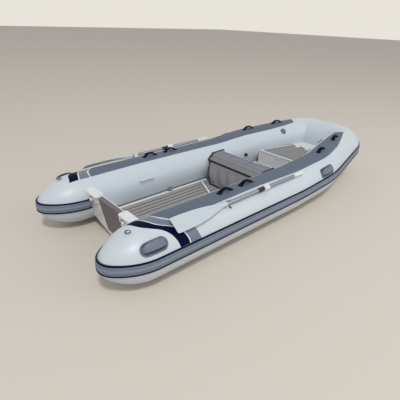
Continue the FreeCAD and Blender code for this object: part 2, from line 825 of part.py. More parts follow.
transom_blank = doc.addObject("Part::Feature", "TransomBlank")
transom_blank.Shape = transom_shape()
transom_blank.Placement = on_transom(0, 0)
cut_by(transom_blank, tube_tool, "transom")

# Engine pad: a tapered plate on the aft face that wraps over the transom's top
pad_outline = [
    ("-1*Sizes.pad_low_half", "-1*Sizes.pad_height"),
    ("Sizes.pad_low_half", "-1*Sizes.pad_height"),
    ("Sizes.pad_top_half", "Sizes.pad_thick"),
    ("-1*Sizes.pad_top_half", "Sizes.pad_thick"),
]
engine_pad = outline_pad("EnginePad", "YZ_Plane", pad_outline, "Sizes.pad_thick + Sizes.transom_thick")
notch_outline = [
    ("Sizes.pad_thick", "-2*Sizes.pad_height"),
    ("Sizes.pad_thick + 2*Sizes.transom_thick", "-2*Sizes.pad_height"),
    ("Sizes.pad_thick + 2*Sizes.transom_thick", "0"),
    ("Sizes.pad_thick", "0"),
]
outline_pocket(engine_pad, "EnginePad_notch", "XZ_Plane", notch_outline)
engine_pad.Placement = on_transom(-size("pad_thick"), 0)
keep(engine_pad, "engine_pad")


def knee_shape():
    """A corner bracket: a band over the transom's top, a hooded aft face and a cleat's knob."""
    start, width, thick = size("knee_start"), size("knee_width"), size("knee_thick")
    drop, far = size("knee_drop"), size("transom_half")
    aft = -(width - size("transom_thick")) * 0.55
    band = Part.makeBox(width, far - start, thick, Vector(aft, start, 0))
    upright = [edge for edge in band.Edges if abs(edge.tangentAt(0).z) > 0.9 and edge.CenterOfMass.y < start + 1]
    band = band.makeFillet(thick * 1.4, upright)
    hood = Part.makeBox(-aft, far - start - thick, drop, Vector(aft, start + thick, thick - drop))
    knob, wall = size("knee_knob"), thick * 0.8
    pocket_low, pocket_high = start + thick + wall, start + drop * 2.1
    arch = Vector(aft, (pocket_low + pocket_high) / 2, -wall * 0.2)
    pocket = face_of([
        arc(Vector(aft, pocket_low, -drop * 0.4), arch, Vector(aft, pocket_high, -drop * 0.4)),
        line(Vector(aft, pocket_high, -drop * 0.4), Vector(aft, pocket_high, -drop)),
        line(Vector(aft, pocket_high, -drop), Vector(aft, pocket_low, -drop)),
        line(Vector(aft, pocket_low, -drop), Vector(aft, pocket_low, -drop * 0.4)),
    ]).extrude(Vector(-aft, 0, 0))
    stem_y = (pocket_low + pocket_high) / 2
    stem = Part.makeCylinder(knob * 0.5, -aft + knob, Vector(aft - knob, stem_y, -drop * 0.52), Vector(1, 0, 0))
    head = Part.makeCylinder(knob, knob * 0.75, Vector(aft - knob, stem_y, -drop * 0.52), Vector(1, 0, 0))
    head = head.makeFillet(knob * 0.25, [edge for edge in head.Edges if edge.Closed])
    return joined([band, hood.cut(pocket), stem, head])


knee_blank = doc.addObject("Part::Feature", "KneeBlank")
knee_blank.Shape = knee_shape()
knee_blank.Placement = on_transom(0, 0)
knee = doc.addObject("Part::Cut", "PortKnee")
knee.Base, knee.Tool = knee_blank, tube_tool
both_sides(knee, "transom_brackets")


# Bow locker, hinged lid and platform
def between_tubes(x_low, x_high, clearance):
    """Plan outline that follows the tubes' inner faces at their widest."""
    stations = [x_low] + [x for x in (KINK_END_X,) if x_low < x < x_high] + [x_high]
    plan = []
    for x in stations:
        half, height, skew = centre_at(x)
        plan.append((x, half - (TUBE_R + clearance) * skew))
    return plan


def locker_shape():
    """An open box with a shallow recess in its aft face."""
    wall, low, gap = size("locker_wall"), DECK_TOP, size("locker_gap")
    high = LOCKER_TOP - low
    outer = slab(between_tubes(LOCKER_START, LOCKER_END, gap), low, high)
    inside = between_tubes(LOCKER_START + wall, LOCKER_END - wall, gap + wall)
    half = between_tubes(LOCKER_START, LOCKER_END, 0)[0][1] - high * 0.25
    recess = Part.makeBox(wall / 3, 2 * half, high * 0.72, Vector(LOCKER_START, -half, low + high * 0.12))
    return outer.cut([slab(inside, low + wall, high), recess])


keep(feature("LockerBox", locker_shape()), "locker_box")

LID_AFT = LOCKER_START - 4
LID_FORE = HINGE_X - 7
MAT_FORE = HINGE_X - 27


def lid_shape():
    """A panel with rounded corners and a recess that its mat lies in."""
    panel = slab(between_tubes(LID_AFT, LID_FORE, size("lid_gap")), LOCKER_TOP, size("lid_thick"))
    upright = [edge for edge in panel.Edges if abs(edge.tangentAt(edge.FirstParameter).z) > 0.9]
    panel = panel.makeFillet(12, upright)
    return panel.cut(mat_slab(size("lid_rim"), LID_TOP - size("lid_recess"), size("lid_thick")))


def mat_slab(rim, low, thick):
    outline = between_tubes(LID_AFT + rim, MAT_FORE - rim + size("lid_rim"), size("lid_gap") + rim)
    return slab(outline, low, thick)


keep(feature("LockerLid", lid_shape()), "locker_lid")
lid_mat = mat_slab(size("lid_rim") + 2, LID_TOP - size("lid_recess"), size("mat_thick"))
keep(feature("LidMat", lid_mat), "lid_mat")


def hinge_parts():
    """Barrels and leaves: three knuckles and a pin on the platform's side, the leaf and two on the lid's."""
    rise, length = size("hinge_rise"), size("hinge_length")
    axis_z = LID_TOP + rise
    x = HINGE_X
    knuckle = length / 5
    fixed, moving = [], []
    for side in (-1, 1):
        start = side * size("hinge_half") - length / 2
        pin = Part.makeCylinder(2.5, length, Vector(x, start, axis_z), Vector(0, 1, 0))
        fixed_parts = [pin, Part.makeBox(30, length, 2.5, Vector(x + 6.5, start, LID_TOP))]
        moving_parts = [Part.makeBox(14, length, 2.5, Vector(x - 20.5, start, LID_TOP))]
        for place in range(5):
            y = start + place * knuckle + RUNNING_GAP
            wide = knuckle - 2 * RUNNING_GAP
            barrel = Part.makeCylinder(6, wide, Vector(x, y, axis_z), Vector(0, 1, 0))
            if place % 2 == 0:
                strap = Part.makeBox(12, wide, axis_z - LID_TOP, Vector(x, y, LID_TOP))
                fixed_parts.append(barrel.fuse(strap))
            else:
                strap = Part.makeBox(12, wide, axis_z - LID_TOP, Vector(x - 12, y, LID_TOP))
                bore = Part.makeCylinder(2.5 + RUNNING_GAP, length * 2, Vector(x, start - 5, axis_z), Vector(0, 1, 0))
                moving_parts.append(barrel.fuse(strap).cut(bore))
        fixed.append(joined(fixed_parts))
        moving.append(joined(moving_parts))
    return Part.makeCompound(fixed), Part.makeCompound(moving)


hinge_fixed, hinge_moving = hinge_parts()
keep(feature("HingeFixed", hinge_fixed), "lid_hinge_knuckles")
keep(feature("HingeMoving", hinge_moving), "lid_hinge_leaves")

platform_start = HINGE_X + 7
platform_plan = [
    (platform_start, under_tube(platform_start)),
    (BOW_INNER, under_tube(BOW_INNER) - size("platform_thick")),
    (BOW_INNER + TUBE_R / 2, CORNER_HALF / 2),
]
platform = slab(platform_plan, PLATFORM_LOW, size("platform_thick"))
platform_blank = feature("PlatformBlank", platform)
cut_by(platform_blank, tube_tool, "bow_platform")

# Latch on the lid's aft edge
latch_x = LID_AFT
latch_plate = doc.addObject("Part::Box", "LatchPlate")
bound(latch_plate, Height="Sizes.lid_thick + 22")
latch_plate.Length, latch_plate.Width = 4, 46
latch_plate.Placement = aboard(latch_x - 4, -23, LID_TOP - size("lid_thick") - 22)
keep(latch_plate, "locker_latch")


# Bench seat
SEAT_TOP = SEAT_LOW + size("seat_board_thick")
board_half = inner_half(size("seat_aft"), SEAT_LOW, 6)
seat_board = doc.addObject("Part::Box", "SeatBoard")
seat_board.Width = 2 * board_half
bound(seat_board, Length="Sizes.seat_depth", Height="Sizes.seat_board_thick")
seat_board.Placement = aboard(size("seat_aft"), -board_half, SEAT_LOW)
keep(seat_board, "seat_board")


def cushion_shape():
    """Wedge-fronted cushion, wide before the tubes trim its ends."""
    aft, top = size("seat_aft"), SEAT_TOP + size("cushion_thick")
    fore, half = aft + size("seat_depth"), size("cushion_half")
    rows = [
        (aft - 30, SEAT_LOW), (aft + 70, top), (fore + 12, top), (fore + 18, SEAT_TOP + SEAT_GAP),
        (aft - 4, SEAT_TOP + SEAT_GAP), (aft - 4, SEAT_LOW),
    ]
    return polygon([Vector(x, -half, z) for x, z in rows]).extrude(Vector(0, 2 * half, 0))


soft_tool = soft_clearance_tool()
cushion_blank = feature("CushionBlank", cushion_shape())
cut_by(cushion_blank, soft_tool, "seat_cushion")


def bag_shape():
    """Soft bag under the seat, tapering to the floor."""
    aft = size("seat_aft")
    low, high = DECK_TOP + size("mat_thick") + SEAT_GAP, SEAT_LOW - SEAT_GAP
    wide = inner_half(aft, SEAT_LOW) - 30
    # columns: height, aft edge, forward edge, half width
    rows = ((low, aft - 135, aft + 130, size("bag_foot_half")), (high, aft - 28, aft + 215, wide))
    wires = []
    for z, back, front, half in rows:
        points = [Vector(back, -half, z), Vector(front, -half, z), Vector(front, half, z), Vector(back, half, z)]
        wires.append(Part.makePolygon(points + [points[0]]))
    return Part.makeLoft(wires, True, True)


bag_blank = feature("BagBlank", bag_shape())
cut_by(bag_blank, soft_tool, "underseat_bag")

# Seat strips glued to the tubes' inner sides, one pair under the seat and one spare pair aft
# columns: first and last distance along the tube
STRIP_PLACES = ((900, 1055), (size("seat_aft") + 20, size("seat_aft") + size("seat_depth") - 20))


def strip_shape(first, last):
    """A curved foot on the tube with a shelf that the seat board's end rests on."""
    runs = clip_runs(SIDE_RUNS, RUNS_BEGIN, first, last)
    foot = sweep(band_section(TUBE_R, TUBE_R + 4, 143, 168), runs)
    shelf_top = SEAT_LOW - SEAT_GAP
    shelf_low = shelf_top - 10
    inner = inner_half(first, shelf_top) - 26
    shelf = Part.makeBox(last - first, 60, 10, Vector(first, inner, shelf_low)).cut(SIDE_TUBE)
    return joined([foot, shelf])


strips = feature("PortStrips", Part.makeCompound([strip_shape(*place) for place in STRIP_PLACES]))
both_sides(strips, "seat_strips")

# Oars in their rowlocks
OAR_TURN = size("oar_angle")
OAR_R = size("oar_radius")
OAR_AXIS = TUBE_R + size("oar_lift")


def on_tube_frame(x):
    """Port frame on the oar: x forward, z out of the tube, measured from the stern tips."""
    angle = math.radians(OAR_TURN)
    y = SPREAD + OAR_AXIS * math.cos(angle)
    z = size("tube_height") + OAR_AXIS * math.sin(angle)
    return Placement(Vector(x, y, z), Rotation(Vector(1, 0, 0), OAR_TURN - 90))


def oar_place(x):
    """The same frame, placed in the boat's own frame."""
    return aboard(0, 0, 0).multiply(on_tube_frame(x))


def along_x(radius, length, x=0.0):
    return Part.makeCylinder(radius, length, Vector(x, 0, 0), Vector(1, 0, 0))


def at_oar(name, shape, x):
    thing = doc.addObject("Part::Feature", name)
    thing.Shape = shape
    thing.Placement = oar_place(x)
    return thing


PIN_R = size("rowlock_pin")
OAR_END = size("flat_run") + size("oar_overreach")
GRIP_X = OAR_END - size("oar_grip_length")
NECK_X = GRIP_X - size("oar_shaft_length")
PIVOT_X = OAR_END - size("oar_pivot_reach")
CLIP_X = NECK_X + 34
ROWLOCK_FOOT = 52
CLIP_FOOT = (76, 92)
pin_hole = Part.makeCylinder(PIN_R + RUNNING_GAP, 200, Vector(0, 0, -100), Vector(0, 0, 1))

shaft = along_x(OAR_R, size("oar_shaft_length"), NECK_X - PIVOT_X).cut(pin_hole)
mirrored(keep(at_oar("PortShaft", shaft, PIVOT_X), "oar_shaft_port"), "oar_shaft_starboard")

grip_body = along_x(OAR_R + 2, size("oar_grip_length"))
grip_body = grip_body.makeFillet(6, [edge for edge in grip_body.Edges if edge.Closed])
mirrored(keep(at_oar("PortGrip", grip_body, GRIP_X), "oar_grip_port"), "oar_grip_starboard")


def blade_shape():
    """A flat blade with a neck that takes the shaft and a spine down its middle."""
    length = size("blade_length")
    half, thick = size("blade_half"), size("blade_thick")
    corner = 26
    neck = OAR_R + 2
    tip = -length

    def at(x, y):
        return Vector(x, y, -thick / 2)

    bevel = corner * (1 - math.sqrt(0.5))
    plate = face_of([
        line(at(tip, -half + corner), at(tip, half - corner)),
        arc(at(tip, half - corner), at(tip + bevel, half - bevel), at(tip + corner, half)),
        line(at(tip + corner, half), at(tip + length * 0.5, half * 0.86)),
        arc(at(tip + length * 0.5, half * 0.86), at(-length * 0.2, half * 0.58), at(-30, neck)),
        line(at(-30, neck), at(0, neck)),
        line(at(0, neck), at(0, -neck)),
        line(at(0, -neck), at(-30, -neck)),
        arc(at(-30, -neck), at(-length * 0.2, -half * 0.58), at(tip + length * 0.5, -half * 0.86)),
        line(at(tip + length * 0.5, -half * 0.86), at(tip + corner, -half)),
        arc(at(tip + corner, -half), at(tip + bevel, -half + bevel), at(tip, -half + corner)),
    ]).extrude(Vector(0, 0, thick))
    ferrule = along_x(neck, 90, -90)
    spine = Part.makeCone(7, neck, length * 0.55, Vector(-90 - length * 0.55, 0, 0), Vector(1, 0, 0))
    return joined([plate, ferrule, spine])


mirrored(keep(at_oar("PortBlade", blade_shape(), NECK_X), "oar_blade_port"), "oar_blade_starboard")

# Sleeve that turns on the rowlock pin, and the navy collar beside it
SLEEVE = dict(length=62, half=24)


def sleeve_shape():
    length, half = SLEEVE["length"], SLEEVE["half"]
    block = Part.makeBox(length, 2 * half, 2 * half - 4, Vector(-length / 2, -half, -half + 4))
    block = block.makeFillet(8, [edge for edge in block.Edges if abs(edge.tangentAt(0).x) > 0.9])
    return block.cut(along_x(OAR_R, length * 2, -length)).cut(pin_hole)


mirrored(keep(at_oar("PortSleeve", sleeve_shape(), PIVOT_X), "oar_sleeve_port"), "oar_sleeve_starboard")

collar = along_x(OAR_R + 3, 70).cut(along_x(OAR_R, 200, -50))
mirrored(keep(at_oar("PortCollar", collar, PIVOT_X - SLEEVE["length"] / 2 - 72), "oar_collar_port"),
         "oar_collar_starboard")


def tube_below(grow, length):
    """The tube, or a grown copy of it, that lies straight below an oar's frame."""
    tube = along_x(TUBE_R + grow, length, -length / 2)
    tube.translate(Vector(0, 0, -OAR_AXIS))
    return tube


def rowlock_shape():
    """A round foot that follows the tube, a boss and the pin that carries the oar."""
    foot_thick = 5
    lift = size("oar_lift")
    boss_top = -SLEEVE["half"] + 4 - SEAT_GAP
    reach = 4 * ROWLOCK_FOOT
    tube = tube_below(0, reach)
    foot = Part.makeCylinder(ROWLOCK_FOOT, 60, Vector(0, 0, -lift - 40)).common(tube_below(foot_thick, reach))
    boss = Part.makeCone(26, 19, lift + boss_top + 10, Vector(0, 0, -lift - 10))
    pin_top = SLEEVE["half"] + 6
    pin = Part.makeCylinder(PIN_R, lift + pin_top, Vector(0, 0, -lift))
    head = Part.makeCylinder(PIN_R + 5, 5, Vector(0, 0, SLEEVE["half"] + SEAT_GAP))
    return joined([foot, boss, pin, head]).cut(tube)


both_sides(at_oar("PortRowlock", rowlock_shape(), PIVOT_X), "rowlocks")


def clip_shape():
    """A rest for the stowed shaft with a hook on its inboard side and a low button outboard."""
    length, foot_thick = 44, 5
    lift = size("oar_lift")
    wide, deep = CLIP_FOOT
    tube = tube_below(0, 4 * wide)
    foot = Part.makeBox(wide, deep, 60, Vector(-wide / 2, -deep / 2, -lift - 40))
    foot = foot.common(tube_below(foot_thick, 4 * wide))
    rest = Part.makeBox(length, 40, lift + 10 - OAR_R - SEAT_GAP, Vector(-length / 2, -24, -lift - 10))
    hook = Part.makeBox(length, 9, lift + 22, Vector(-length / 2, -OAR_R - 9.3, -lift - 10))
    button = Part.makeCylinder(11, 16, Vector(0, 32, -lift - 8))
    return joined([foot, rest, hook, button]).cut(tube)


both_sides(at_oar("PortClip", clip_shape(), CLIP_X), "oar_clips")


PATCH_END = CORNER - size("patch_stop")


def patch_plan():
    """A tall block over the patch's plan, narrowing to its forward tip."""
    end, low, high = PATCH_END, size("patch_low"), size("patch_high")
    outer = tube_frame(end - size("patch_taper")).round_point(TUBE_R, low)
    inner = tube_frame(end - size("patch_nip")).round_point(TUBE_R, high)
    tip = tube_frame(end)
    tips = [tip.round_point(TUBE_R, 82), tip.round_point(TUBE_R, 88)]
    aft = tube_frame(size("patch_start"))
    start = [aft.point(-TUBE_R, 0), aft.point(TUBE_R, 0)]
    plan = start + [outer + Vector(0, TUBE_R, 0), outer] + tips + [inner, inner - Vector(0, TUBE_R, 0)]
    return polygon([Vector(point.x, point.y, 0) for point in plan]).extrude(Vector(0, 0, 4 * TUBE_R))


# Wear patches on top of the tubes, notched round the oars' fittings
def patch_shape():
    thick = size("patch_thick")
    section = band_section(TUBE_R, TUBE_R + thick, size("patch_low"), size("patch_high"))
    band = sweep(section, clip_runs(ALL_RUNS, RUNS_BEGIN, size("patch_start"), PATCH_END))
    band = band.common(patch_plan())
    disc = Part.makeCylinder(ROWLOCK_FOOT + SEAT_GAP, 80, Vector(0, 0, -size("oar_lift") - 40))
    disc.Placement = on_tube_frame(PIVOT_X).multiply(disc.Placement)
    half_x, half_y = CLIP_FOOT[0] / 2 + SEAT_GAP, CLIP_FOOT[1] / 2 + SEAT_GAP
    block = Part.makeBox(2 * half_x, 2 * half_y, 80, Vector(-half_x, -half_y, -size("oar_lift") - 40))
    block.Placement = on_tube_frame(CLIP_X).multiply(block.Placement)
    return band.cut([disc, block])


mirrored(keep(feature("PortPatch", patch_shape()), "wear_patch_port"), "wear_patch_starboard")


# Lifting eyes on the deck
# distance of each eye from the stern tips
EYE_PLACES = (1271, 1811)
EYE_RISE = 28


def eye_shape(x):
    bore, thick = size("eye_bore"), size("eye_plate")
    rise, half = EYE_RISE, bore + 9
    y = inner_half(x, DECK_TOP + rise + half) - thick
    base = Part.makeBox(2 * half + 12, 24, 4, Vector(x - half - 6, y - 12, DECK_TOP))
    plate = Part.makeBox(2 * half, thick, rise, Vector(x - half, y - thick / 2, DECK_TOP))
    ring = Part.makeCylinder(half, thick, Vector(x, y - thick / 2, DECK_TOP + rise), Vector(0, 1, 0))
    hole = Part.makeCylinder(bore, 60, Vector(x, y - 30, DECK_TOP + rise), Vector(0, 1, 0))
    return joined([base, plate, ring]).cut(hole)


eyes = feature("PortEyes", Part.makeCompound([eye_shape(place) for place in EYE_PLACES]))
both_sides(eyes, "lifting_eyes")


# Valves on the tubes' inner sides
# columns: distance along the tube, degrees round the tube, plate radius, cap radius, cap rise
VALVES = (
    (KINK_START - 135, 165, 30, 19, 30),
    (KINK_END + 401, 136, 40, 27, 9),
)


def round_fitting(distance, degrees, plate, cap, rise):
    """A round plate that follows the tube and a cap standing on it."""
    frame = tube_frame(distance)
    angle = math.radians(degrees)
    normal = frame.out * math.cos(angle) + frame.up * math.sin(angle)
    reach = 2 * plate
    runs = clip_runs(ALL_RUNS, RUNS_BEGIN, distance - reach, distance + reach)
    grown = sweep(disc_section(TUBE_R + 4), runs)
    foot = Part.makeCylinder(plate, 60, frame.pos + normal * (TUBE_R - 30), normal).common(grown)
    stem = Part.makeCylinder(cap, rise + 12, frame.pos + normal * (TUBE_R - 12), normal)
    return joined([foot, stem]).cut([SIDE_TUBE, BOW_TUBE])


valves = feature("PortValves", Part.makeCompound([round_fitting(*row) for row in VALVES]))
both_sides(valves, "valves")


# Towing rings on the stern cones and under the bow
def stern_ring_shape():
    x, y = 224, SPREAD + 12
    base = bullet_end(4)
    foot = Part.makeCylinder(34, 160, Vector(x, y, size("tube_height") + 120)).common(base).cut(SIDE_TUBE)
    top = size("tube_height") + 211
    ring = Part.makeTorus(19, 3.5, Vector(x, y + 4, top), Vector(0.05, 0, 1))
    return Part.makeCompound([joined([foot, ring.cut(SIDE_TUBE)])])


both_sides(feature("PortRing", stern_ring_shape()), "stern_rings")


# The towing eye stands under the bow tube's front
TOW_EYE = dict(angle=-38, bore=12, half=24, thick=10, rise=26, foot=46)


def tow_eye_shape():
    bow = BOW_FRAME
    angle = math.radians(TOW_EYE["angle"])
    normal = bow.out * math.cos(angle) + bow.up * math.sin(angle)
    side = Vector(0, 1, 0)
    wide, deep = TOW_EYE["foot"], TOW_EYE["foot"] / 2
    grown = Part.makeCylinder(TUBE_R + 5, 4 * wide, bow.pos - side * (2 * wide), side)
    foot = Part.makeCylinder(wide, 2 * deep, bow.pos + normal * (TUBE_R - deep), normal).common(grown)
    across = normal.cross(side)
    thick, half = TOW_EYE["thick"], TOW_EYE["half"]
    middle = bow.pos + normal * (TUBE_R + TOW_EYE["rise"])
    corner = bow.pos + normal * (TUBE_R - 10) - across * half - side * (thick / 2)
    points = [corner, corner + across * (2 * half), corner + across * (2 * half) + normal * (TOW_EYE["rise"] + 10),
              corner + normal * (TOW_EYE["rise"] + 10)]
    plate = polygon(points).extrude(side * thick)
    ring = Part.makeCylinder(half, thick, middle - side * (thick / 2), side)
    hole = Part.makeCylinder(TOW_EYE["bore"], 4 * thick, middle - side * (2 * thick), side)
    return joined([foot, plate, ring]).cut(BOW_TUBE).cut(hole)


keep(feature("TowEye", tow_eye_shape()), "bow_towing_eye")


# Build, check and write
def check(thing):
    if any(word in thing.State for word in ("Invalid", "Error")):
        raise RuntimeError("%s failed: %s" % (thing.Label, thing.State))
    shape = getattr(thing, "Shape", None)
    if thing in SUBPARTS and (shape is None or shape.isNull() or not shape.isValid() or not shape.Solids):
        raise RuntimeError("%s has no valid solid" % thing.Label)


doc.recompute()
for item in doc.Objects:
    check(item)
os.makedirs("parts", exist_ok=True)
for part in SUBPARTS:
    part.Shape.exportStep(os.path.join("parts", part.Label + ".step"))
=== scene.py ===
"""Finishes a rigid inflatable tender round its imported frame, from its skins and foam to its fittings."""

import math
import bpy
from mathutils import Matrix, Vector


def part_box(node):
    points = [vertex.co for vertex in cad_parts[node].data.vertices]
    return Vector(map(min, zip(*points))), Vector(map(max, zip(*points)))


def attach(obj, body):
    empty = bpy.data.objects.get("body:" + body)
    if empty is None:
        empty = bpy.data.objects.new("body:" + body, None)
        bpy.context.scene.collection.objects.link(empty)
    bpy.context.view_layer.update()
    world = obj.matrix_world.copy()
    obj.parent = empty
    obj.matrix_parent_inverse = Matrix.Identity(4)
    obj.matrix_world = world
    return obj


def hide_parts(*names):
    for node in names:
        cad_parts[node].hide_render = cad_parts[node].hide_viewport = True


bl_info = {
    "name": "Rigid inflatable tender",
    "version": (1, 0, 0),
    "blender": (4, 5, 0),
    "location": "3D View > Sidebar > Tender",
    "description": "Builds the looks of a rigid inflatable tender round its frame",
    "category": "Object",
}

import bmesh
import bpy
from bpy.props import FloatProperty, FloatVectorProperty, IntProperty, PointerProperty
from bpy.types import Operator, Panel, PropertyGroup
from mathutils import Matrix, Vector
from mathutils.bvhtree import BVHTree

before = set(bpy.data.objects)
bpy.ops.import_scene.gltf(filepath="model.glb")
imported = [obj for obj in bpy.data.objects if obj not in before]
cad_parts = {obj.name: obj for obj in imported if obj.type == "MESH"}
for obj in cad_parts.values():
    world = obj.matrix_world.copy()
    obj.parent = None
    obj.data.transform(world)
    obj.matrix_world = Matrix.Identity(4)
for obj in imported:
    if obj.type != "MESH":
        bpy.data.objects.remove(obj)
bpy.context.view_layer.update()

MM = 0.001
SIDES = (("port", 1), ("starboard", -1))
X, Y, Z = (Vector(way) for way in ((1, 0, 0), (0, 1, 0), (0, 0, 1)))


def srgb(code):
    """A hex colour as linear values."""
    channels = [int(code[i:i + 2], 16) / 255 for i in (0, 2, 4)]
    return tuple(c / 12.92 if c <= 0.04045 else ((c + 0.055) / 1.055) ** 2.4 for c in channels)


# What a user would change
def colour(name, code, description):
    return FloatVectorProperty(name=name, description=description, default=srgb(code),
                               subtype="COLOR", size=3, min=0, max=1)


def length(name, metres, description):
    return FloatProperty(name=name, description=description, default=metres, unit="LENGTH")


def angular(name, degrees, description):
    return FloatProperty(name=name, description=description, default=math.radians(degrees), subtype="ANGLE")


class TenderColours(PropertyGroup):
    tube: colour("Tubes", "C9D1D8", "Coated fabric of the air tubes")
    patch: colour("Patches", "5D6877", "Wear patches and grey stripes")
    strake: colour("Strake", "707989", "Body of the rubbing strake")
    # the ridge is the strake's own rubber drawn lighter: a painted highlight along its raised middle
    ridge: colour("Strake ridge", "808999", "Raised middle of the rubbing strake")
    navy: colour("Navy", "0A102E", "Navy stripes, beads and handles")
    white: colour("White", "E0E2E2", "Gelcoat and white mouldings")
    foam: colour("Foam", "9B9897", "Brushed foam planks")
    foam_line: colour("Foam grooves", "454043", "Grooves between the planks")
    pad: colour("Engine pad", "6B646B", "Moulded engine pad")
    vinyl_top: colour("Seat top", "787B8A", "Top panels of the seat cushion")
    vinyl_slope: colour("Seat slope", "828286", "Sloping aft panel of the seat cushion")
    bag: colour("Bag", "7E7E81", "Coated cloth of the bag")
    blade: colour("Blade", "C4CCD3", "Oar blades")
    grip: colour("Grips", "687180", "Moulded grips on the tubes")
    floor: colour("Floor", "D8D0C4", "Studio floor")


class TenderForm(PropertyGroup):
    radius: length("Tube radius", 0.220, "Outside radius of the air tubes")
    spread: length("Spread", 0.540, "Tube centreline to the boat's middle")
    height: length("Height", 0.250, "Tube centreline above the ground at the stern")
    cone: length("Cone", 0.350, "Length of the bullet end")
    nose: length("Nose", 0.130, "Radius of the bullet end's nose")
    flat_run: length("Flat run", 2.000, "Stern tip to where the tubes start to rise")
    sheer_radius: length("Sheer radius", 2.000, "Bend that lifts the tubes")
    fore_run: length("Fore run", 0.340, "Straight tube before the inward bend")
    kink_radius: length("Kink radius", 1.200, "Inward bend")
    taper_run: length("Taper run", 0.727, "Straight tube after the inward bend")
    corner_radius: length("Corner radius", 0.225, "Bow corner")
    sheer: angular("Sheer", 4, "Rise of the tubes")
    kink: angular("Kink", 12.5, "Inward bend")
    plank: length("Plank", 0.0567, "Pitch of the foam planks")
    stitch: length("Stitch", 0.011, "Pitch of the stitches, coarser than the real 5 mm so that they show")
    seed: IntProperty(name="Seed", description="Seed of the fasteners' turns", default=7)


def form():
    return bpy.context.scene.tender_form


def colours():
    return bpy.context.scene.tender_colours


# Paths along the tubes
class Station:
    """A point on a path with its forward, outward and upward directions."""

    def __init__(self, pos, along, out, up):
        self.pos, self.along, self.out, self.up = pos, along, out, up

    def at(self, outward, upward=0.0, forward=0.0):
        return self.pos + self.out * outward + self.up * upward + self.along * forward

    def around(self, radius, degrees):
        angle = math.radians(degrees)
        return self.at(radius * math.cos(angle), radius * math.sin(angle))

    def moved(self, distance):
        return Station(self.pos + self.along * distance, self.along, self.out, self.up)

    def turned(self, centre, axis, angle):
        turn = Matrix.Rotation(angle, 3, axis)
        ways = (turn @ way for way in (self.along, self.out, self.up))
        return Station(centre + turn @ (self.pos - centre), *ways)


class Stretch:
    """One straight or round stretch of a path."""

    def __init__(self, start, reach, centre=None, axis=None, angle=0.0):
        self.start, self.reach = start, reach
        self.centre, self.axis, self.angle = centre, axis, angle

    def station(self, distance):
        if self.centre is None:
            return self.start.moved(distance)
        return self.start.turned(self.centre, self.axis, self.angle * distance / self.reach)

    def end(self):
        return self.station(self.reach)

    def stations(self, step, turn):
        """Stations from its start, its end left out."""
        count = max(1, math.ceil(self.angle / turn if self.centre is not None else self.reach / step))
        return [self.station(self.reach * i / count) for i in range(count)]


def straight(start, reach):
    return Stretch(start, reach)


def bend(start, towards, radius, angle):
    axis = start.along.cross(towards)
    return Stretch(start, abs(radius) * angle, start.pos + towards * radius, axis, angle)


STERN_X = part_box("port_tube")[0].x
# from the strake's aftmost point to where it ends at the transom
STRAKE_REACH = 0.395


def shoulder_radius():
    """The large arc of the bullet end, tangent to the nose and to the tube."""
    f = form()
    run = f.cone - f.nose
    return (run ** 2 + f.radius ** 2 - f.nose ** 2) / (2 * (f.radius - f.nose))


def cone_turns():
    """Angles that the shoulder arc and half of the nose turn through."""
    f = form()
    meet = math.atan2(shoulder_radius() - f.radius, f.nose - f.cone)
    return meet - math.pi / 2, math.pi - meet


def cone_radius(distance):
    """Radius of the bullet end at a distance from its tip."""
    f = form()
    shoulder = shoulder_radius()
    join = f.nose + f.nose * math.cos(math.pi / 2 + cone_turns()[0])
    if distance < join:
        return math.sqrt(max(f.nose ** 2 - (distance - f.nose) ** 2, 0))
    return f.radius - shoulder + math.sqrt(shoulder ** 2 - (distance - f.cone) ** 2)


def tube_path():
    """The port tube's centreline from the end of its cone to the boat's middle at the bow."""
    f = form()
    start = Vector((STERN_X + f.cone, f.spread, f.height))
    runs = [straight(Station(start, X, Y, Z), f.flat_run - f.cone)]
    runs.append(bend(runs[-1].end(), runs[-1].end().up, f.sheer_radius, f.sheer))
    runs.append(straight(runs[-1].end(), f.fore_run))
    runs.append(bend(runs[-1].end(), -runs[-1].end().out, f.kink_radius, f.kink))
    runs.append(straight(runs[-1].end(), f.taper_run))
    runs.append(bend(runs[-1].end(), -runs[-1].end().out, f.corner_radius, math.pi / 2 - f.kink))
    runs.append(straight(runs[-1].end(), runs[-1].end().pos.y))
    return runs


def stern_path():
    """Along the port tube's inner side aft from the transom, round the cone and back to its outer side."""
    f = form()
    reach = abs(shoulder_radius() - f.radius)
    shoulder_turn, nose_turn = cone_turns()
    transom_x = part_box("rub_strake_port")[0].x + STRAKE_REACH
    start = Vector((transom_x, f.spread, f.height))
    runs = [straight(Station(start, -X, -Y, Z), transom_x - STERN_X - f.cone)]
    here = runs[-1].end()
    axis = here.along.cross(-here.out)
    runs.append(Stretch(here, reach * shoulder_turn, here.pos - here.out * reach, axis, shoulder_turn))
    nose = Vector((STERN_X + f.nose, f.spread, f.height))
    runs.append(Stretch(runs[-1].end(), f.nose * nose_turn, nose, axis, 2 * nose_turn))
    far = Vector((STERN_X + f.cone, f.spread - reach, f.height))
    runs.append(Stretch(runs[-1].end(), reach * shoulder_turn, far, axis, shoulder_turn))
    return runs


def tube_station(distance):
    """The port tube's station at a distance from the stern tip along it."""
    f = form()
    runs = tube_path()
    if distance <= f.cone:
        return runs[0].start.moved(distance - f.cone)
    left = distance - f.cone
    for run in runs:
        if left <= run.reach:
            return run.station(left)
        left -= run.reach
    return runs[-1].end()


def mirrored(point):
    """The point's twin on the other side of the boat."""
    return Vector((point.x, -point.y, point.z))


def skin(distance, degrees, lift=0.0):
    """A point on the port tube's surface."""
    f = form()
    radius = cone_radius(distance) if distance < f.cone else f.radius
    return tube_station(distance).around(radius + lift, degrees)


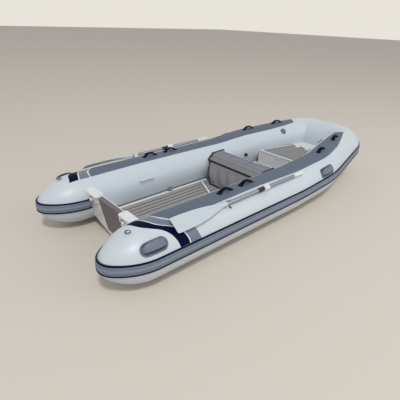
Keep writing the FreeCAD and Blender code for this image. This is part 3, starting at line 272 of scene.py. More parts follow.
def bend_start(name):
    """Distance along the tube, from its tip, at which a bend begins."""
    order = ("flat", "sheer", "fore", "kink", "taper", "corner", "cross")
    f = form()
    runs = tube_path()
    return f.cone + sum(run.reach for run in runs[:order.index(name)])


# Meshes
def outward(name, vertices, faces):
    """A loose object whose faces all look outward."""
    mesh = bpy.data.meshes.new(name)
    mesh.from_pydata([tuple(v) for v in vertices], [], faces)
    bm = bmesh.new()
    bm.from_mesh(mesh)
    bmesh.ops.recalc_face_normals(bm, faces=bm.faces)
    bm.to_mesh(mesh)
    bm.free()
    return bpy.data.objects.new(name, mesh)


def grown(name, vertices, faces, finishes, body, slot, replaced=(), indices=None, smooth=True):
    """A finished piece: its mesh, the names of its finishes, its body, slot and the nodes it stands for."""
    piece = outward(name, vertices, faces)
    mesh = piece.data
    mesh.polygons.foreach_set("use_smooth", [smooth] * len(mesh.polygons))
    adopted(piece, finishes, body, slot, replaced)
    if indices:
        mesh.polygons.foreach_set("material_index", indices)
    return piece


def adopted(piece, finishes, body, slot, replaced=()):
    """The piece with its finishes, its body, its slot and the nodes it stands for."""
    if piece.name not in bpy.context.scene.collection.objects:
        bpy.context.scene.collection.objects.link(piece)
    piece.data.materials.clear()
    for name in finishes:
        piece.data.materials.append(finish(name))
    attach(piece, body)
    if replaced:
        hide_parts(*replaced)
    return piece


def creased(piece, degrees=35):
    """Smooth shading that breaks at edges sharper than an angle."""
    mesh = piece.data
    bm = bmesh.new()
    bm.from_mesh(mesh)
    for edge in bm.edges:
        edge.smooth = not edge.is_manifold or edge.calc_face_angle(0) < math.radians(degrees)
    bm.to_mesh(mesh)
    bm.free()
    return piece


def rounded_edges(piece, width, degrees=35, segments=2):
    """A bevel on the piece's sharp edges."""
    bevel = piece.modifiers.new("Edge", "BEVEL")
    bevel.width, bevel.segments = width, segments
    bevel.limit_method, bevel.angle_limit = "ANGLE", math.radians(degrees)
    bevel.harden_normals = True
    return piece


def loft(rings, caps=True):
    """Quads between successive closed rings, with a face on each end."""
    size = len(rings[0])
    vertices = [point for ring in rings for point in ring]
    faces = []
    for i in range(len(rings) - 1):
        for k in range(size):
            a, b = i * size + k, i * size + (k + 1) % size
            faces.append((a, b, b + size, a + size))
    if caps:
        faces.append(tuple(range(size)))
        faces.append(tuple(range((len(rings) - 1) * size, len(rings) * size)))
    return vertices, faces


def slab(low, high):
    """A plain block between two corners."""
    ring = ((low.x, low.y), (high.x, low.y), (high.x, high.y), (low.x, high.y))
    return loft([[Vector((x, y, z)) for x, y in ring] for z in (low.z, high.z)])


def blanket(point, columns, rows, lifts):
    """A closed sheet between two lifts, with its points given over a grid of shares from 0 to 1."""
    vertices = []
    for lift in lifts:
        for i in range(columns + 1):
            for j in range(rows + 1):
                vertices.append(point(i / columns, j / rows, lift))
    width, layer = rows + 1, (columns + 1) * (rows + 1)
    faces = []
    for base in (0, layer):
        for i in range(columns):
            for j in range(rows):
                a = base + i * width + j
                faces.append((a, a + 1, a + width + 1, a + width))
    rim = [i * width for i in range(columns)] + [columns * width + j for j in range(rows)]
    rim += [(columns - i) * width + rows for i in range(columns)] + [rows - j for j in range(rows)]
    for a, b in zip(rim, rim[1:] + rim[:1]):
        faces.append((a, b, b + layer, a + layer))
    return vertices, faces


def joined(parts):
    """Several lists of vertices and faces as one."""
    vertices, faces = [], []
    for more_vertices, more_faces in parts:
        base = len(vertices)
        vertices += more_vertices
        faces += [tuple(base + i for i in face) for face in more_faces]
    return vertices, faces


def both(vertices, faces):
    """A port shape and its starboard twin."""
    return joined([(vertices, faces), ([mirrored(Vector(v)) for v in vertices], faces)])


def round_the_bow(rings):
    """Rings from the port stern to the bow's middle, carried on to the starboard stern."""
    return rings + [[mirrored(point) for point in ring] for ring in reversed(rings[:-1])]


def on_line(points, share):
    """A smooth line through points, at a share of its length in points."""
    place = share * (len(points) - 1)
    i = min(int(place), len(points) - 2)
    t = place - i
    p = [points[max(0, min(len(points) - 1, i + k))] for k in (-1, 0, 1, 2)]
    result = []
    for a, b, c, d in zip(*p):
        result.append(0.5 * (2 * b + (c - a) * t + (2 * a - 5 * b + 4 * c - d) * t * t
                             + (3 * b - a - 3 * c + d) * t ** 3))
    return result


def rounded_ring(width, height, radius, steps=4, pieces=1):
    """Points of a rounded rectangle round the origin, each straight side cut into pieces."""
    ring = []
    radius = min(radius, width / 2, height / 2)
    for quarter, (sx, sy) in enumerate(((1, 1), (-1, 1), (-1, -1), (1, -1))):
        for i in range(steps + 1):
            angle = math.radians(90 * (quarter + i / steps))
            ring.append((sx * (width / 2 - radius) + radius * math.cos(angle),
                         sy * (height / 2 - radius) + radius * math.sin(angle)))
    if pieces == 1:
        return ring
    cut = []
    for i, (x, y) in enumerate(ring):
        cut.append((x, y))
        if i % (steps + 1) == steps:
            far_x, far_y = ring[(i + 1) % len(ring)]
            cut += [(x + (far_x - x) * k / pieces, y + (far_y - y) * k / pieces) for k in range(1, pieces)]
    return cut


def circle(centre, side, up, radius, count):
    """Points round a centre."""
    turns = (math.tau * k / count for k in range(count))
    return [centre + (side * math.cos(turn) + up * math.sin(turn)) * radius for turn in turns]


def piped(points, radius, count=8, closed=False):
    """A round tube along a line of points."""
    rings = []
    last = len(points) - 1
    side = None
    for i, point in enumerate(points):
        before = points[i - 1] if (i or closed) else point
        after = points[(i + 1) % len(points)] if (i < last or closed) else point
        along = (after - before).normalized()
        side = along.orthogonal() if side is None else side - along * side.dot(along)
        side.normalize()
        rings.append(circle(point, side, along.cross(side), radius, count))
    if closed:
        vertices, faces = loft(rings, caps=False)
        base = last * count
        for k in range(count):
            faces.append((base + k, base + (k + 1) % count, (k + 1) % count, k))
        return vertices, faces
    return loft(rings)


def turned_shape(profile, centre, axis, count=32):
    """A shape turned about an axis from pairs of radius and height."""
    axis = axis.normalized()
    side = axis.orthogonal().normalized()
    up = axis.cross(side)
    return loft([circle(centre + axis * height, side, up, radius, count) for radius, height in profile])


def settled(node):
    """A merged copy of a node's mesh, as an unlinked mesh."""
    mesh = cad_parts[node].data.copy()
    bm = bmesh.new()
    bm.from_mesh(mesh)
    bmesh.ops.remove_doubles(bm, verts=bm.verts, dist=1e-5)
    bm.to_mesh(mesh)
    bm.free()
    return mesh


def softened(node, finish_name, body, slot, width=0.0015, degrees=30):
    """A copy of a rigid node with its sharp edges eased, in place of the plain node."""
    mesh = settled(node)
    bm = bmesh.new()
    bm.from_mesh(mesh)
    bmesh.ops.dissolve_limit(bm, angle_limit=math.radians(1.0), verts=bm.verts, edges=bm.edges)
    bm.to_mesh(mesh)
    bm.free()
    mesh.polygons.foreach_set("use_smooth", [True] * len(mesh.polygons))
    piece = bpy.data.objects.new("eased_" + node, mesh)
    adopted(piece, [finish_name], body, slot, (node,))
    creased(piece, degrees)
    return rounded_edges(piece, width, degrees)


def finish_node(node, *finishes):
    """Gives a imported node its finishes, the first of them on every face."""
    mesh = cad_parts[node].data
    mesh.materials.clear()
    for name in finishes:
        mesh.materials.append(finish(name))
    mesh.polygons.foreach_set("material_index", [0] * len(mesh.polygons))


def by_height(mesh, rise):
    """The first finish on a foot that lies on the tube and the second on what stands higher than rise."""
    f = form()
    for face in mesh.polygons:
        x = face.center.x - STERN_X
        radius = cone_radius(x) if x < f.cone else f.radius
        away = math.hypot(abs(face.center.y) - f.spread, face.center.z - f.height) - radius
        face.material_index = int(away > rise)


# Materials
def add(tree, kind, links=None, values=None, **settings):
    """A node with its settings, its sockets' values and the sockets that feed it."""
    node = tree.nodes.new(kind)
    for key, value in settings.items():
        setattr(node, key, value)
    for key, value in (values or {}).items():
        node.inputs[key].default_value = value
    for key, socket in (links or {}).items():
        tree.links.new(socket, node.inputs[key])
    return node


def opaque(values):
    return (*values[:3], 1.0)


def shade(values, factor):
    return tuple(min(1.0, c * factor) for c in values[:3])


def material(name, base, roughness, metallic=0.0, coat=0.0, specular=0.5):
    """A material with its shader, and its tree to draw on."""
    made = bpy.data.materials.new(name)
    made.use_nodes = True
    shader = made.node_tree.nodes["Principled BSDF"]
    shader.inputs["Base Color"].default_value = opaque(base)
    shader.inputs["Roughness"].default_value = roughness
    shader.inputs["Metallic"].default_value = metallic
    shader.inputs["Coat Weight"].default_value = coat
    if not metallic:
        shader.inputs["Specular IOR Level"].default_value = specular
    return made, made.node_tree, shader


def noise(tree, place, size_mm, detail=2.0, **more):
    """Noise with features of a size in mm."""
    values = {"Scale": 1 / (size_mm * MM), "Detail": detail, **more}
    return add(tree, "ShaderNodeTexNoise", {"Vector": place}, values).outputs["Fac"]


def cells(tree, place, size_mm, randomness=1.0, feature="F1"):
    """Distance from the middles of cells of a size in mm."""
    values = {"Scale": 1 / (size_mm * MM), "Randomness": randomness}
    return add(tree, "ShaderNodeTexVoronoi", {"Vector": place}, values, feature=feature).outputs["Distance"]


def bands(tree, place, pitch_mm, direction):
    """Waves at a pitch in mm along a direction."""
    values = {"Scale": 1 / (pitch_mm * MM) / math.tau * 2}
    return add(tree, "ShaderNodeTexWave", {"Vector": place}, values, bands_direction=direction).outputs["Fac"]


def stretched(tree, place, share):
    """Coordinates that draw a pattern out along X."""
    return add(tree, "ShaderNodeMapping", {"Vector": place}, {"Scale": (share, 1, 1)}).outputs["Vector"]


def ranged(tree, value, low, high, start=0.0, end=1.0):
    """A value from between start and end, mapped to between low and high."""
    values = {"From Min": start, "From Max": end, "To Min": low, "To Max": high}
    return add(tree, "ShaderNodeMapRange", {"Value": value}, values).outputs["Result"]


def product(tree, first, second):
    return add(tree, "ShaderNodeMath", {0: first, 1: second}, operation="MULTIPLY").outputs["Value"]


def mottled(tree, shader, base, spread, size_mm):
    """Slow colour variation over the surface; gives the coordinates and the colour."""
    place = add(tree, "ShaderNodeTexCoord").outputs["Object"]
    mix = add(tree, "ShaderNodeMix", {"Factor": noise(tree, place, size_mm, 3.0, Roughness=0.55)},
              data_type="RGBA")
    mix.inputs["A"].default_value = opaque(shade(base, 1 - spread))
    mix.inputs["B"].default_value = opaque(shade(base, 1 + spread))
    tree.links.new(mix.outputs["Result"], shader.inputs["Base Color"])
    return place, mix.outputs["Result"]


def overlaid(tree, shader, factor, below, colour_above):
    """A second colour over the surface's own where the factor says."""
    mix = add(tree, "ShaderNodeMix", {"Factor": factor, "A": below}, data_type="RGBA")
    mix.inputs["B"].default_value = opaque(colour_above)
    tree.links.new(mix.outputs["Result"], shader.inputs["Base Color"])


def bumped(tree, shader, height, depth_mm, strength=1.0):
    bump = add(tree, "ShaderNodeBump", {"Height": height}, {"Strength": strength, "Distance": depth_mm * MM})
    tree.links.new(bump.outputs["Normal"], shader.inputs["Normal"])
    return bump


def coated_fabric(name, base, painted_sand_reflection=True, gloss=1.0):
    """Reinforced fabric with a calendered coat: a soft satin sheen with a faint weave under it.

    The threads are 1 mm apart and are drawn at 4 mm so that they show."""
    made, tree, shader = material(name, base, 0.42, coat=0.12 * gloss, specular=0.5 * gloss)
    shader.inputs["Coat Roughness"].default_value = 0.35
    place, tint = mottled(tree, shader, base, 0.035, 260)
    bumped(tree, shader, cells(tree, place, 4), 0.12, 0.35)
    fine = noise(tree, place, 45, 4.0)
    tree.links.new(ranged(tree, fine, 0.34, 0.5), shader.inputs["Roughness"])
    if painted_sand_reflection:
        # painted reflection of sand: a patchy beige tint towards the bottom of the tubes
        height = add(tree, "ShaderNodeSeparateXYZ", {"Vector": place}).outputs["Z"]
        low = ranged(tree, height, 0.0, 0.55, 0.16, 0.03)
        overlaid(tree, shader, product(tree, low, fine), tint, srgb("B7A48C"))
    return made


def extruded_rubber(name, base, grain_mm=2.5, specular=0.4):
    """Extruded rubber: matt, with a fine grain and scuffs that lighten it."""
    made, tree, shader = material(name, base, 0.55, specular=specular)
    place, tint = mottled(tree, shader, base, 0.06, 90)
    bumped(tree, shader, noise(tree, place, grain_mm), 0.15, 0.4)
    worn = ranged(tree, noise(tree, place, 30, 6.0), 0.0, 0.3, 0.58, 0.75)
    overlaid(tree, shader, worn, tint, shade(base, 1.5))
    return made


def embossed_patch(name, base):
    """Rubberised patch with a raised diamond tread: matt.

    The diamonds are 4 mm wide and are drawn at 9 mm so that they show."""
    made, tree, shader = material(name, base, 0.62, specular=0.35)
    place = mottled(tree, shader, base, 0.05, 140)[0]
    turned = add(tree, "ShaderNodeMapping", {"Vector": place}, {"Rotation": (0, 0, math.radians(45))})
    first, second = (bands(tree, turned.outputs["Vector"], 9, direction) for direction in "XY")
    bumped(tree, shader, product(tree, first, second), 0.6, 0.6)
    return made


def gelcoat(name, base):
    """Polished gelcoat over laminate: glossy under a clear coat, with faint orange peel."""
    made, tree, shader = material(name, base, 0.28, coat=0.5)
    shader.inputs["Coat Roughness"].default_value = 0.08
    place = mottled(tree, shader, base, 0.02, 320)[0]
    bumped(tree, shader, noise(tree, place, 7, 1.0), 0.08, 0.3)
    return made


def non_slip(name, base):
    """Deck gelcoat with a moulded dimple pattern: satin, 6 mm dimples."""
    made, tree, shader = material(name, base, 0.5, specular=0.4)
    place = mottled(tree, shader, base, 0.05, 120)[0]
    bumped(tree, shader, cells(tree, place, 6, 0.15), 0.5, 0.6)
    return made


def brushed_foam(name, base):
    """Brushed closed-cell foam: matt, with fine lengthwise strokes.

    The strokes are under 1 mm wide and are drawn at 3 mm."""
    made, tree, shader = material(name, base, 0.8, specular=0.25)
    place, tint = mottled(tree, shader, base, 0.07, 80)
    stroke = noise(tree, stretched(tree, place, 0.06), 3, 3.0)
    bumped(tree, shader, stroke, 0.35, 0.6)
    streaked = add(tree, "ShaderNodeVectorMath", {0: tint}, operation="SCALE")
    tree.links.new(ranged(tree, stroke, 0.86, 1.14), streaked.inputs["Scale"])
    tree.links.new(streaked.outputs["Vector"], shader.inputs["Base Color"])
    return made


def moulded_plastic(name, base, roughness=0.45, grain_mm=1.5, depth_mm=0.12):
    """Injection-moulded plastic: even colour, a fine spark-eroded grain and a soft highlight."""
    made, tree, shader = material(name, base, roughness)
    place = mottled(tree, shader, base, 0.03, 60)[0]
    bumped(tree, shader, noise(tree, place, grain_mm), depth_mm, 0.5)
    return made


def marine_vinyl(name, base):
    """Coated upholstery vinyl: a pebbled leather grain of 3 mm cells with a satin sheen."""
    made, tree, shader = material(name, base, 0.48, specular=0.4)
    place = mottled(tree, shader, base, 0.05, 70)[0]
    grain = add(tree, "ShaderNodeMath",
                {0: noise(tree, place, 38, 5.0), 1: cells(tree, place, 3, feature="SMOOTH_F1")},
                {2: 0.5}, operation="MULTIPLY_ADD")
    bumped(tree, shader, grain.outputs["Value"], 0.5, 0.5)
    return made


def coated_cloth(name, base):
    """Woven polyester with a thin coat: dull, threads 1 mm apart drawn at 3 mm, and handling creases."""
    made, tree, shader = material(name, base, 0.7, specular=0.3)
    shader.inputs["Sheen Weight"].default_value = 0.15
    place = mottled(tree, shader, base, 0.09, 110)[0]
    creases = bumped(tree, shader, noise(tree, place, 60, 6.0, Distortion=0.6), 6.0, 0.45)
    warp, weft = (bands(tree, place, 3, direction) for direction in "YZ")
    weave = add(tree, "ShaderNodeBump",
                {"Height": product(tree, warp, weft), "Normal": creases.outputs["Normal"]},
                {"Strength": 0.3, "Distance": 0.2 * MM})
    tree.links.new(weave.outputs["Normal"], shader.inputs["Normal"])
    return made


def drawn_metal(name, base, metallic, stretch, line_mm, smooth, rough):
    """Metal with faint lines along its length that stretch its highlights."""
    made, tree, shader = material(name, base, 0.24, metallic=metallic)
    place = add(tree, "ShaderNodeTexCoord").outputs["Object"]
    lines = noise(tree, stretched(tree, place, stretch), line_mm)
    tree.links.new(ranged(tree, lines, smooth, rough), shader.inputs["Roughness"])
    return made


def stainless(name, base):
    """Polished stainless steel: bright, with brush lines 1.2 mm apart."""
    return drawn_metal(name, base, 1.0, 0.1, 1.2, 0.16, 0.34)


def anodised_tube(name, base):
    """Anodised aluminium tube: metallic grey, with drawing lines 2 mm apart."""
    return drawn_metal(name, base, 0.95, 0.03, 2, 0.18, 0.32)


FINISHES = {}


def finish(name):
    """Each finish of the boat, made once."""
    if name in FINISHES:
        return FINISHES[name]
    c = colours()
    makers = {
        "tube": lambda: coated_fabric("coated_tube_fabric", c.tube),
        "tape": lambda: coated_fabric("coated_seam_tape", shade(c.tube, 0.97), painted_sand_reflection=False),
        "stripe_navy": lambda: coated_fabric("navy_coated_fabric", c.navy, painted_sand_reflection=False, gloss=0.05),
        "stripe_white": lambda: coated_fabric("white_coated_fabric", c.white, painted_sand_reflection=False),
        "stripe_grey": lambda: coated_fabric("grey_coated_fabric", shade(c.patch, 1.3), painted_sand_reflection=False),
        "strake": lambda: extruded_rubber("extruded_strake_rubber", c.strake),
        # a lighter copy of the strake's rubber: painted highlight on the ridge
        "ridge": lambda: extruded_rubber("ridge_rubber_painted_highlight", c.ridge),
        "navy_rubber": lambda: extruded_rubber("navy_rubber", c.navy, specular=0.06),
        "handle": lambda: extruded_rubber("handle_rubber", shade(c.navy, 0.7), specular=0.06),
        "keel": lambda: extruded_rubber("keel_rubber", srgb("54575C")),
        "patch": lambda: embossed_patch("embossed_patch_rubber", c.patch),
        "gelcoat": lambda: gelcoat("polished_gelcoat", c.white),
        "deck": lambda: non_slip("non_slip_gelcoat", c.white),
        "inset": lambda: gelcoat("tinted_gelcoat", srgb("E8E4E6")),
        "foam": lambda: brushed_foam("brushed_foam", c.foam),
        "foam_lid": lambda: brushed_foam("brushed_lid_foam", shade(c.foam, 0.84)),
        "foam_line": lambda: brushed_foam("foam_core", c.foam_line),
        "pad": lambda: moulded_plastic("moulded_pad_plastic", c.pad, 0.5, 3.0, 0.3),
        "white_plastic": lambda: moulded_plastic("white_asa_moulding", c.white, 0.35),
        "grip": lambda: moulded_plastic("moulded_grip_rubber", c.grip, 0.55, 1.5, 0.2),
        # darker and lighter copies of the grip's colour: painted shade in the recess under the bar and
        # painted light on the raised bar
        "grip_dark": lambda: moulded_plastic("grip_recess_painted_shade", shade(c.grip, 0.38), 0.6, 1.5, 0.2),
        "grip_light": lambda: moulded_plastic("grip_bar_painted_light", shade(c.grip, 1.05), 0.5, 1.5, 0.2),
        "navy_plastic": lambda: moulded_plastic("navy_nylon_moulding", c.navy, 0.42),
        "black_plastic": lambda: moulded_plastic("black_nylon_moulding", srgb("17181B"), 0.45),
        "blade": lambda: moulded_plastic("moulded_polypropylene", c.blade, 0.36, 2.0, 0.08),
        "vinyl_top": lambda: marine_vinyl("seat_vinyl", c.vinyl_top),
        "vinyl_slope": lambda: marine_vinyl("slope_vinyl", c.vinyl_slope),
        "piping": lambda: extruded_rubber("black_piping", srgb("15161B"), 1.2),
        "thread": lambda: coated_cloth("waxed_thread", srgb("4C4F5A")),
        "bag": lambda: coated_cloth("coated_bag_cloth", c.bag),
        "steel": lambda: stainless("polished_stainless", srgb("DCDDDF")),
        "dark_steel": lambda: stainless("cast_stainless", srgb("5E6066")),
        "hook": lambda: moulded_plastic("grey_nylon_moulding", srgb("C9CDD2"), 0.42),
        "oar_alloy": lambda: anodised_tube("anodised_oar_tube", srgb("9AA1AD")),
    }
    FINISHES[name] = makers[name]()
    return FINISHES[name]


# Geometry Nodes for what repeats
def repeat_tree(name, along_path):
    """A tree that sets copies of one small item on points, or at a pitch along a path."""
    tree = bpy.data.node_groups.new(name, "GeometryNodeTree")
    sockets = (("Geometry", "NodeSocketGeometry"), ("Item", "NodeSocketObject"), ("Pitch", "NodeSocketFloat"),
               ("Turn", "NodeSocketFloat"), ("Seed", "NodeSocketInt"), ("Finish", "NodeSocketMaterial"))
    for label, kind in sockets:
        tree.interface.new_socket(label, in_out="INPUT", socket_type=kind)
    tree.interface.new_socket("Geometry", in_out="OUTPUT", socket_type="NodeSocketGeometry")
    given = add(tree, "NodeGroupInput").outputs
    facing = add(tree, "GeometryNodeInputNamedAttribute", values={"Name": "facing"}, data_type="FLOAT_VECTOR")
    points = given["Geometry"]
    turn = add(tree, "FunctionNodeAlignRotationToVector", {"Vector": facing.outputs["Attribute"]}, axis="Z")
    if along_path:
        curve = add(tree, "GeometryNodeMeshToCurve", {"Mesh": points})
        even = add(tree, "GeometryNodeResampleCurve",
                   {"Curve": curve.outputs["Curve"], "Length": given["Pitch"]}, mode="LENGTH")
        points = even.outputs["Curve"]
        tangent = add(tree, "GeometryNodeInputTangent")
        turn = add(tree, "FunctionNodeAlignRotationToVector",
                   {"Vector": tangent.outputs["Tangent"], "Rotation": turn.outputs["Rotation"]},
                   axis="X", pivot_axis="Z")
    spin = add(tree, "FunctionNodeRandomValue", {2: given["Turn"], 3: given["Turn"], "Seed": given["Seed"]},
               data_type="FLOAT")
    least = add(tree, "ShaderNodeMath", {0: given["Turn"]}, {1: -1.0}, operation="MULTIPLY")
    tree.links.new(least.outputs["Value"], spin.inputs[2])
    own = add(tree, "ShaderNodeCombineXYZ", {"Z": spin.outputs[1]})
    local = add(tree, "FunctionNodeEulerToRotation", {"Euler": own.outputs["Vector"]})
    full = add(tree, "FunctionNodeRotateRotation",
               {"Rotation": turn.outputs["Rotation"], "Rotate By": local.outputs["Rotation"]},
               rotation_space="LOCAL")
    item = add(tree, "GeometryNodeObjectInfo", {"Object": given["Item"]})
    copies = add(tree, "GeometryNodeInstanceOnPoints",
                 {"Points": points, "Instance": item.outputs["Geometry"],
                  "Rotation": full.outputs["Rotation"]})
    real = add(tree, "GeometryNodeRealizeInstances", {"Geometry": copies.outputs["Instances"]})
    dressed = add(tree, "GeometryNodeSetMaterial",
                  {"Geometry": real.outputs["Geometry"], "Material": given["Finish"]})
    add(tree, "NodeGroupOutput", {"Geometry": dressed.outputs["Geometry"]})
    return tree


def repeated(name, lines, item, pitch, finish_name, body, slot, turn=0.0):
    """Copies of an item on points, or along lines of points; each point comes with the way it faces."""
    along_path = pitch > 0
    tree = repeat_tree(name + "_tree", along_path)
    mesh = bpy.data.meshes.new(name + "_path")
    points = [point for line in lines for point, facing in line]
    edges, base = [], 0
    for line in lines:
        if along_path:
            edges += [(base + i, base + i + 1) for i in range(len(line) - 1)]
        base += len(line)
    mesh.from_pydata([tuple(p) for p in points], edges, [])
    ways = mesh.attributes.new("facing", "FLOAT_VECTOR", "POINT")
    facings = [facing.normalized() for line in lines for point, facing in line]
    ways.data.foreach_set("vector", [value for facing in facings for value in facing])
    carrier = bpy.data.objects.new(name + "_path", mesh)
    bpy.context.scene.collection.objects.link(carrier)
    bpy.context.scene.collection.objects.link(item)
    modifier = carrier.modifiers.new("Repeat", "NODES")
    modifier.node_group = tree
    wanted = {"Item": item, "Pitch": pitch, "Turn": turn, "Seed": form().seed, "Finish": finish(finish_name)}
    for socket in tree.interface.items_tree:
        if socket.in_out == "INPUT" and socket.name in wanted:
            modifier[socket.identifier] = wanted[socket.name]
    graph = bpy.context.evaluated_depsgraph_get()
    baked = bpy.data.meshes.new_from_object(carrier.evaluated_get(graph))
    if not baked.polygons:
        raise RuntimeError(name + " came out empty")
    bpy.data.objects.remove(carrier)
    bpy.data.objects.remove(item)
    baked.name = name
    baked.polygons.foreach_set("use_smooth", [True] * len(baked.polygons))
    return adopted(bpy.data.objects.new(name, baked), [finish_name], body, slot)


def screw_item(radius=0.0045):
    """A pan head with a socket in it, facing up."""
    profile = ((radius, -0.3 * radius), (radius, 0.12 * radius), (0.8 * radius, 0.42 * radius),
               (0.45 * radius, 0.5 * radius), (0.4 * radius, 0.15 * radius))
    return outward("screw", *turned_shape(profile, Vector(), Z, 10))


def stitch_item(long=0.007, thick=0.0014):
    """A short rounded stitch along X."""
    # columns: share of half the length, share of the thickness
    rows = ((-1, 0.25), (-0.7, 0.9), (0, 1.0), (0.7, 0.9), (1, 0.25))
    rings = [circle(X * (share * long / 2), Y, Z, size * thick, 6) for share, size in rows]
    return outward("stitch", *loft(rings))


# Air tubes
class TENDER_OT_air_tubes(Operator):
    """Smooth air tubes with lap seams where the panels meet"""
    bl_idname = "tender.air_tubes"
    bl_label = "Air tubes"

    def execute(self, context):
        f = form()
        cone_rings, longest, sharpest = 22, 0.08, math.radians(4)
        seams = (bend_start("corner"), bend_start("cross"))
        half_seam, edge, tape = 0.013, 0.0025, 0.0005
        turns = [360 * k / 96 for k in range(96)]
        distances = [f.cone * (1 - math.cos(math.radians(90 * i / cone_rings)))
                     for i in range(1, cone_rings + 1)]
        begin = f.cone
        for run in tube_path():
            steps = math.ceil(run.angle / sharpest if run.centre else run.reach / longest)
            distances += [begin + run.reach * i / steps for i in range(1, steps + 1)]
            begin += run.reach
        for seam in seams:
            for away in (half_seam, half_seam + edge):
                distances += [seam - away, seam + away]
        distances = sorted(set(round(d, 5) for d in distances))
        rings = [[skin(0.0004, turn) for turn in turns]]
        for distance in distances:
            lift = tape if any(abs(distance - seam) < half_seam + edge / 2 for seam in seams) else 0.0
            rings.append([skin(distance, turn, lift) for turn in turns])
        nodes = ("port_tube", "starboard_tube", "bow_tube")
        grown("air_tubes", *loft(round_the_bow(rings)), ["tube"], "boat", "tube_fabric", nodes)
        return {"FINISHED"}


# Rubbing strake
# columns: height above the tube's centreline in mm, lift off the tube in mm, finish
# the ridge rows take a lighter copy of the strake's rubber: painted highlight
STRAKE_PROFILE = (
    (59.3, 0.5, "navy_rubber"), (58.6, 6.0, "navy_rubber"), (55.5, 9.0, "navy_rubber"),
    (51.5, 9.0, "navy_rubber"), (48.5, 6.5, "navy_rubber"), (47.5, 4.2, "strake"), (45.5, 5.8, "strake"),
    (38.0, 6.2, "strake"), (25.0, 6.2, "strake"), (23.5, 8.0, "ridge"), (20.0, 9.0, "ridge"),
    (13.5, 9.0, "ridge"), (7.0, 9.0, "ridge"), (3.8, 8.0, "ridge"), (2.3, 6.2, "strake"),
    (-8.0, 6.2, "strake"), (-18.0, 5.8, "strake"), (-20.0, 4.2, "navy_rubber"), (-21.0, 6.5, "navy_rubber"),
    (-24.0, 9.0, "navy_rubber"), (-28.0, 9.0, "navy_rubber"), (-31.2, 6.0, "navy_rubber"),
    (-31.9, 0.5, "navy_rubber"),
)


class TENDER_OT_strake(Operator):
    """Rubbing strake: navy beads on a grey body with a raised middle, round both cones and the bow"""
    bl_idname = "tender.strake"
    bl_label = "Rubbing strake"

    def execute(self, context):
        f = form()
        root = f.radius - 0.030
        stations = []
        for run in stern_path() + tube_path():
            stations += run.stations(0.10, math.radians(4))
        stations.append(tube_path()[-1].end())
        port = []
        for station in stations:
            ring = []
            for height, lift, _ in STRAKE_PROFILE:
                z = height * MM
                ring.append(station.at(math.sqrt((f.radius + lift * MM) ** 2 - z * z), z))
            ring += [station.at(root, STRAKE_PROFILE[row][0] * MM) for row in (-1, 0)]
            port.append(ring)
        vertices, faces = loft(round_the_bow(port))
        order = ["strake", "ridge", "navy_rubber"]
        finishes = [order.index(row[2]) for row in STRAKE_PROFILE] + [0, 0]
        size = len(finishes)
        indices = [finishes[i % size] for i in range(len(faces) - 2)] + [0, 0]
        creased(grown("rubbing_strake", vertices, faces, order, "boat", "strake_rubber",
                      ("rub_strake_port", "rub_strake_starboard"), indices), 40)
        return {"FINISHED"}


# Stripes over the stern
# each edge is a line from the tube's inner side to the strake
# columns: metres along the tube, degrees round it
NAVY_AFT = ((0.268, 114), (0.282, 103), (0.296, 90), (0.325, 79), (0.374, 69.5), (0.431, 60), (0.476, 47.8),
            (0.500, 36.5), (0.516, 26), (0.524, 16))
NAVY_FORE = ((0.350, 114), (0.364, 103), (0.380, 91), (0.408, 78), (0.446, 69), (0.515, 58.2), (0.560, 47.5),
             (0.588, 37), (0.604, 26), (0.610, 16))
GREY_FORE = ((0.456, 114), (0.460, 103), (0.468, 93), (0.487, 84), (0.522, 75), (0.575, 66), (0.660, 54),
             (0.693, 38), (0.707, 26), (0.720, 16))
# the top patch: where it starts and ends along the tube, from its inner to its outer edge
PATCH_START = (0.467, 0.471, 0.483, 0.508, 0.543, 0.585)
PATCH_END = (3.400, 3.402, 3.406, 3.412, 3.422, 3.436)
# the patch's edges: metres along the tube, degrees round it
PATCH_OUTER = ((0.0, 66), (0.585, 66), (1.0, 68), (1.5, 70), (1.83, 68), (2.2, 65.5), (2.7, 64), (2.96, 65),
               (3.1, 69), (3.23, 74.5), (3.35, 80), (3.44, 85), (9.0, 85))
PATCH_INNER = ((0.0, 114), (0.5, 113.5), (1.0, 111), (1.8, 112), (2.4, 116), (2.7, 119), (2.96, 118),
               (3.23, 114), (3.33, 111), (3.44, 106), (9.0, 106))
# how deep glued sheets are set into the tube's skin
SUNK = 0.0004


def edge_degrees(edge, distance):
    """The angle of a patch's edge at a distance along the tube."""
    for (s0, a0), (s1, a1) in zip(edge, edge[1:]):
        if distance <= s1:
            return a0 + (a1 - a0) * (distance - s0) / (s1 - s0)
    return edge[-1][1]


